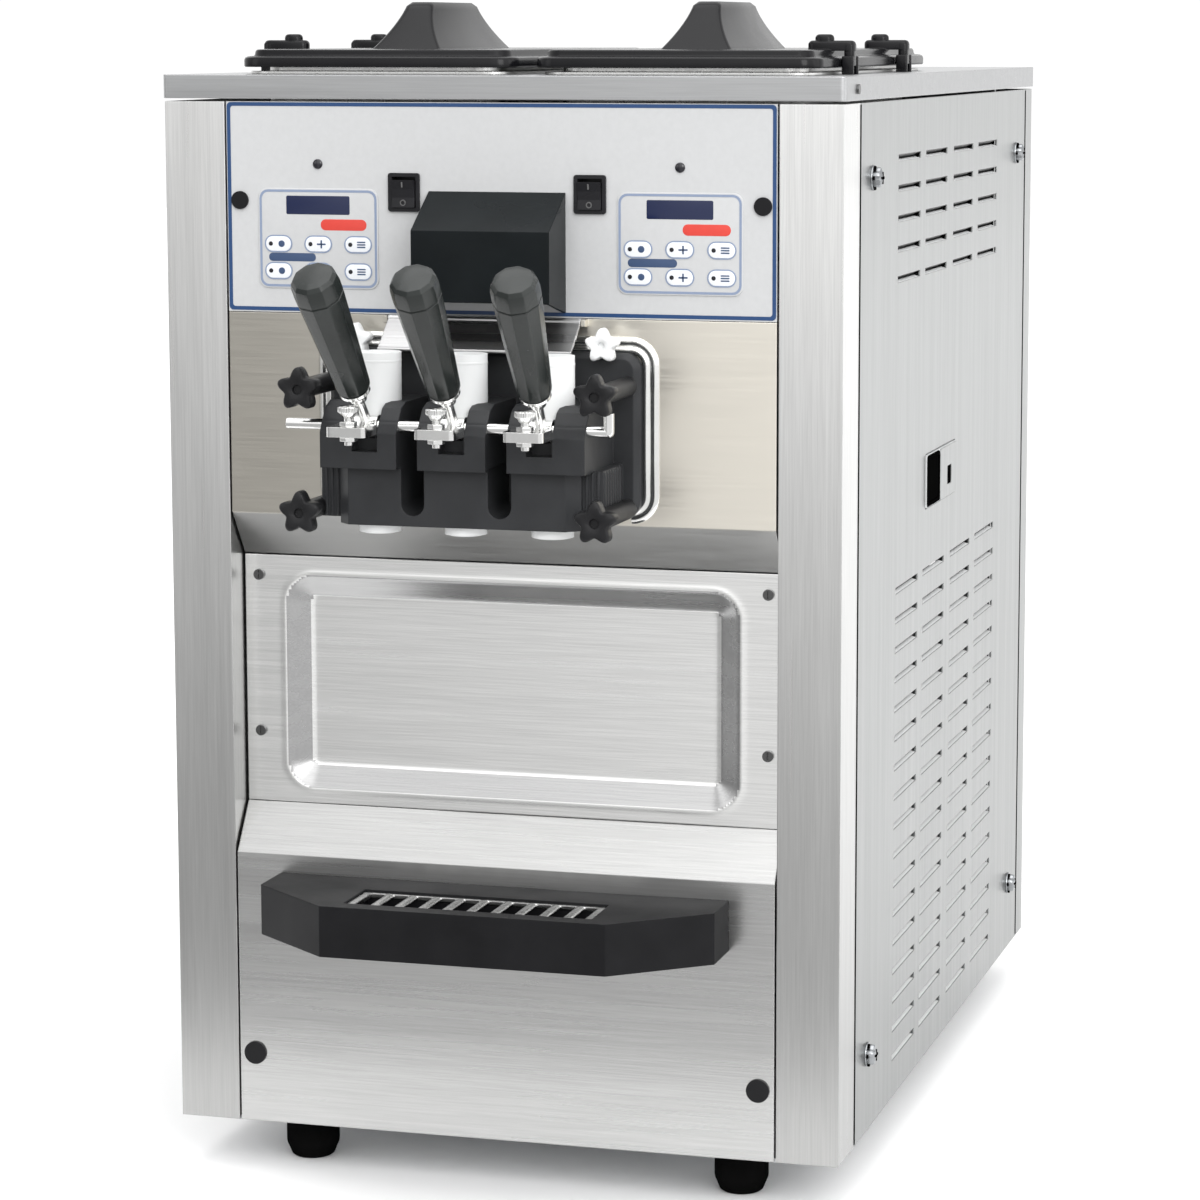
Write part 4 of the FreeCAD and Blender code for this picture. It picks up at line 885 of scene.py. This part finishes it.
def star_knob(name, material, body, base, reach, depth, stem_end, stem_radius, replaced):
    """Five-lobed knob facing the front, dished about its centre hole, with a tapered stem behind."""
    knob = Shape()
    levels = [
        (0.42, 0.0, None), (0.92, 0.3, star), (1.0, 1.6, star), (1.0, depth - 2.6, star),
        (0.95, depth - 1.0, star), (0.86, depth - 0.2, star), (0.60, depth, star),
        (0.36, depth - 0.3, None), (0.22, depth - 1.2, None), (0.20, depth - 3.6, None),
    ]
    knob.loft([ring_about(base, FORWARD, reach * size, h, 70, lobes) for size, h, lobes in levels])
    length = stem_end - base[1]
    knob.lathe([
        (stem_radius * 1.35, -0.3), (stem_radius * 1.1, -3), (stem_radius, -6),
        (stem_radius, 1 - length), (stem_radius - 0.6, -length),
    ], base, FORWARD)
    knob.build(name, M[material], body, replaces=(replaced,))


# Level of each ring up a flute, and how far it stands out on a shoulder's side and front
FLUTE_RINGS = (
    (467.5, 104.1, -60.1), (469.5, 105.1, -61.0), (502.5, 105.1, -61.0), (504.5, 104.1, -60.1),
)


def head_flutes():
    """Upright ribs on the sides and fronts of the head's shoulders."""
    ribs = Shape()
    for side in (-1, 1):
        root = HEAD_X + side * 103.5
        for index in range(7):
            y = -56.5 + index * 6.2
            rings = []
            for z, reach, _ in FLUTE_RINGS:
                crest = HEAD_X + side * reach
                rings.append([
                    place(root, y - 1.7, z), place(crest, y - 0.9, z),
                    place(crest, y + 0.9, z), place(root, y + 1.7, z),
                ])
            ribs.loft(rings)
        for index in range(3):
            x = HEAD_X + side * (92.0 + index * 4.2)
            ribs.loft([
                [place(x - 1.4, -59.5, z), place(x - 0.7, crest, z),
                 place(x + 0.7, crest, z), place(x + 1.4, -59.5, z)]
                for z, _, crest in FLUTE_RINGS
            ])
    ribs.build("head_flutes", M["door_black"], "cabinet", sharp=25)


def outlet_collars():
    """Raised collar round each outlet."""
    collars = Shape()
    for step in (-1, 0, 1):
        x = HEAD_X + step * VALVE_STEP
        outer, inner = circle(x, VALVE_Y, 11.6, 40), circle(x, VALVE_Y, 9.4, 40)
        collars.frame("z", outer, inner, 456.6, 455.6)
    collars.build("outlet_collars", M["acetal"], "cabinet")


def valve_seal(name, x):
    """O-ring that shows on the valve above the block."""
    profile = [(15.6, -1.2), (16.05, -0.9), (16.2, 0), (16.05, 0.9), (15.6, 1.2)]
    seal = Shape().lathe(profile, (x, VALVE_Y, 578.0), UP)
    seal.build(name + "_valve_seal", M["acetal"], name + "_valve_body")


# ---------------------------------------------------------------- drip tray and drawer


def tray_grid():
    """Pressed grid: rolled bars across a frame."""
    grid = Shape()
    y0, y1 = -79.0, -35.0
    top = 189.6
    half_width, half_height, pitch = 3.4, 1.5, 18.0
    turns = [2 * math.pi * i / 14 for i in range(14)]
    outer = rounded_outline(-91.8, 91.8, y0 + 0.2, y1 - 0.2, 3)
    inner = rounded_outline(-86.0, 86.0, y0 + 4.0, y1 - 4.0, 2)
    grid.frame("z", outer, inner, 186.4, top)
    for index in range(9):
        x = (index - 4) * pitch
        grid.loft([
            [
                place(x + half_width * math.cos(t), y, top - 1.4 + half_height * math.sin(t))
                for t in turns
            ]
            for y in (y0 + 2, y1 - 2)
        ])
    grid.build("rolled_grid", M["front_steel"], "grid_body", replaces=("drip_grid",))


# Level and outline (y0, y1, z0, z1) of each ring of the drawer's finger well, outside first
WELL_RINGS = (
    (253.4, (294.2, 342.0, 441.3, 481.7)), (254.6, (294.8, 341.4, 441.9, 481.1)),
    (254.6, (297.5, 339.5, 444.5, 478.5)), (231.0, (298.5, 338.5, 445.5, 477.5)),
    (230.0, (298.5, 338.5, 445.5, 477.5)),
)


def drawer_front():
    """Finger well across the drawer's height in flat black as painted shade, and the steel front plate with
    a black piece behind its slot as painted shade.
    """
    well = Shape().loft([on_plane("x", x, rounded_outline(*sides, 3)) for x, sides in WELL_RINGS])
    well.build("drawer_finger_well_shadow", M["painted_shade_black"], "drawer_body")
    plate = Shape()
    outer = rounded_outline(343.0, 410.8, 441.3, 481.7, 4)
    inner = rounded_outline(371.5, 388.5, 450.5, 465.5, 1.5)
    plate.frame("x", outer, inner, 253.4, 254.4)
    plate.build("drawer_front_plate", M["side_steel"], "drawer_body")
    slot = Shape()
    slot.pillow("x", 371.0, 389.0, 450.0, 466.0, 253.0, 253.8, 1, 0.2)
    slot.build("drawer_latch_slot_shadow", M["painted_shade_black"], "drawer_body")


# ---------------------------------------------------------------- build the pieces

fascia_border()
keypads()
display_windows()
rocker_marks()
splash_panel()
louvre_slats(-1)
louvre_slats(1)
thumb_bolts()
panel_gap_shadows()
hinge_brackets()
door_surround()
rubber_feet()
hopper_lid("left", -1)
hopper_lid("right", 1)
for index, (name, splay) in enumerate((("left", -3.0), ("middle", 0.0), ("right", 3.0))):
    valve_x = HEAD_X + (index - 1) * VALVE_STEP
    lever_grip(name, valve_x, splay)
    lever_fittings(name, valve_x)
    valve_seal(name, valve_x)
for name, side in (("left", -1), ("right", 1)):
    base = (HEAD_X + side * 92, -14, 589)
    star_knob(
        name + "_prime_star", "acetal", name + "_plug_body", base, reach=12.5, depth=STAR_DEPTH,
        stem_end=22, stem_radius=4, replaced=name + "_prime_plug",
    )
    for level, z in (("lower", 473.0), ("upper", 560.0)):
        knob = name + "_" + level
        base = (HEAD_X + side * 108, -86, z)
        star_knob(
            knob + "_star", "knob_black", knob + "_knob_body", base, reach=15.6, depth=STAR_DEPTH,
            stem_end=-12.6, stem_radius=7, replaced=knob + "_knob",
        )
head_flutes()
outlet_collars()
tray_grid()
drawer_front()


# ---------------------------------------------------------------- floor, light and camera


def studio():
    """Plain pale floor, which ends in front of the machine, and the sky."""
    floor_mesh = bpy.data.meshes.new("floor")
    reach, front_edge = 14.0, -0.62
    corners = [(-reach, front_edge, 0), (reach, front_edge, 0), (reach, reach, 0), (-reach, reach, 0)]
    floor_mesh.from_pydata(corners, [], [(0, 1, 2, 3)])
    floor = bpy.data.objects.new("floor", floor_mesh)
    bpy.context.scene.collection.objects.link(floor)
    paint = Recipe("floor_paint", (0.95, 0.95, 0.95), 0.65)
    paint.vary_colour(paint.noise(2), (0.94, 0.94, 0.94), (0.96, 0.96, 0.96))
    paint.bump(paint.noise(3), 0.05)
    dress(floor, paint.material)
    sky()


def sky():
    """Plain white to the eye; its light in front is weaker on the left and near the ground."""
    world = bpy.data.worlds.new("studio")
    bpy.context.scene.world = world
    world.use_nodes = True
    nodes, links = world.node_tree.nodes, world.node_tree.links
    split = nodes.new("ShaderNodeSeparateXYZ")
    links.new(nodes.new("ShaderNodeTexCoord").outputs["Generated"], split.inputs["Vector"])

    def ease(axis, start, end, low, high):
        node = nodes.new("ShaderNodeMapRange")
        node.interpolation_type = "SMOOTHSTEP"
        for name, value in (("From Min", start), ("From Max", end), ("To Min", low), ("To Max", high)):
            node.inputs[name].default_value = value
        links.new(split.outputs[axis], node.inputs["Value"])
        return node.outputs["Result"]

    def combine(operation, first, second):
        node = nodes.new("ShaderNodeMath")
        node.operation = operation
        links.new(first, node.inputs[0])
        links.new(second, node.inputs[1])
        return node.outputs[0]

    white = 1.04
    sideways = ease("X", -0.46, -0.14, 0.85, 1.9)
    upwards = ease("Z", -0.1, 0.3, 0.45, 1.1)
    front_glow = combine("MULTIPLY", sideways, upwards)
    in_front = combine("MULTIPLY", front_glow, ease("Y", -0.25, 0.25, 1.0, 0.0))
    brightness = combine("ADD", in_front, ease("Y", -0.25, 0.25, 0.0, white))
    seen = nodes.new("ShaderNodeMix")
    links.new(nodes.new("ShaderNodeLightPath").outputs["Is Camera Ray"], seen.inputs["Factor"])
    links.new(brightness, seen.inputs["A"])
    seen.inputs["B"].default_value = white
    links.new(seen.outputs["Result"], nodes["Background"].inputs["Strength"])
    nodes["Background"].inputs["Color"].default_value = (1.0, 1.0, 1.0, 1)


def area_light(name, location, target, size, power):
    """White soft box that faces a target; metres and watts."""
    light = bpy.data.lights.new(name, "AREA")
    light.shape = "RECTANGLE"
    light.size, light.size_y = size
    light.energy = power
    obj = bpy.data.objects.new(name, light)
    bpy.context.scene.collection.objects.link(obj)
    obj.location = location
    obj.rotation_euler = (Vector(target) - Vector(location)).to_track_quat("-Z", "Y").to_euler()


def camera():
    """The photograph's viewpoint, fitted to the cabinet's edges."""
    focal_pixels, frame_pixels, sensor = 3722, 1200, 36
    data = bpy.data.cameras.new("camera")
    data.sensor_width = sensor
    data.lens = focal_pixels / frame_pixels * sensor
    data.shift_x = -0.06
    data.shift_y = -0.06
    data.clip_end = 100
    obj = bpy.data.objects.new("camera", data)
    bpy.context.scene.collection.objects.link(obj)
    obj.location = place(821.3, -2523.7, 807.4)
    yaw, pitch = math.radians(15.339), math.radians(7.587)
    obj.rotation_euler = (math.pi / 2 - pitch, 0, yaw)
    bpy.context.scene.camera = obj


studio()
area_light("key_right", (1.9, -2.9, 2.1), (0, -0.1, 0.45), (1.5, 1.8), 34)
area_light("fill_left", (-2.4, -2.4, 1.7), (0, -0.1, 0.45), (1.4, 1.8), 8)
area_light("side_right", (3.0, 0.2, 1.7), (0.2, 0.0, 0.4), (2.0, 2.0), 12)
area_light("top_soft", (0.0, -0.4, 3.0), (0, 0, 0.5), (2.4, 2.4), 22)
camera()
bpy.context.scene.view_settings.view_transform = "Standard"
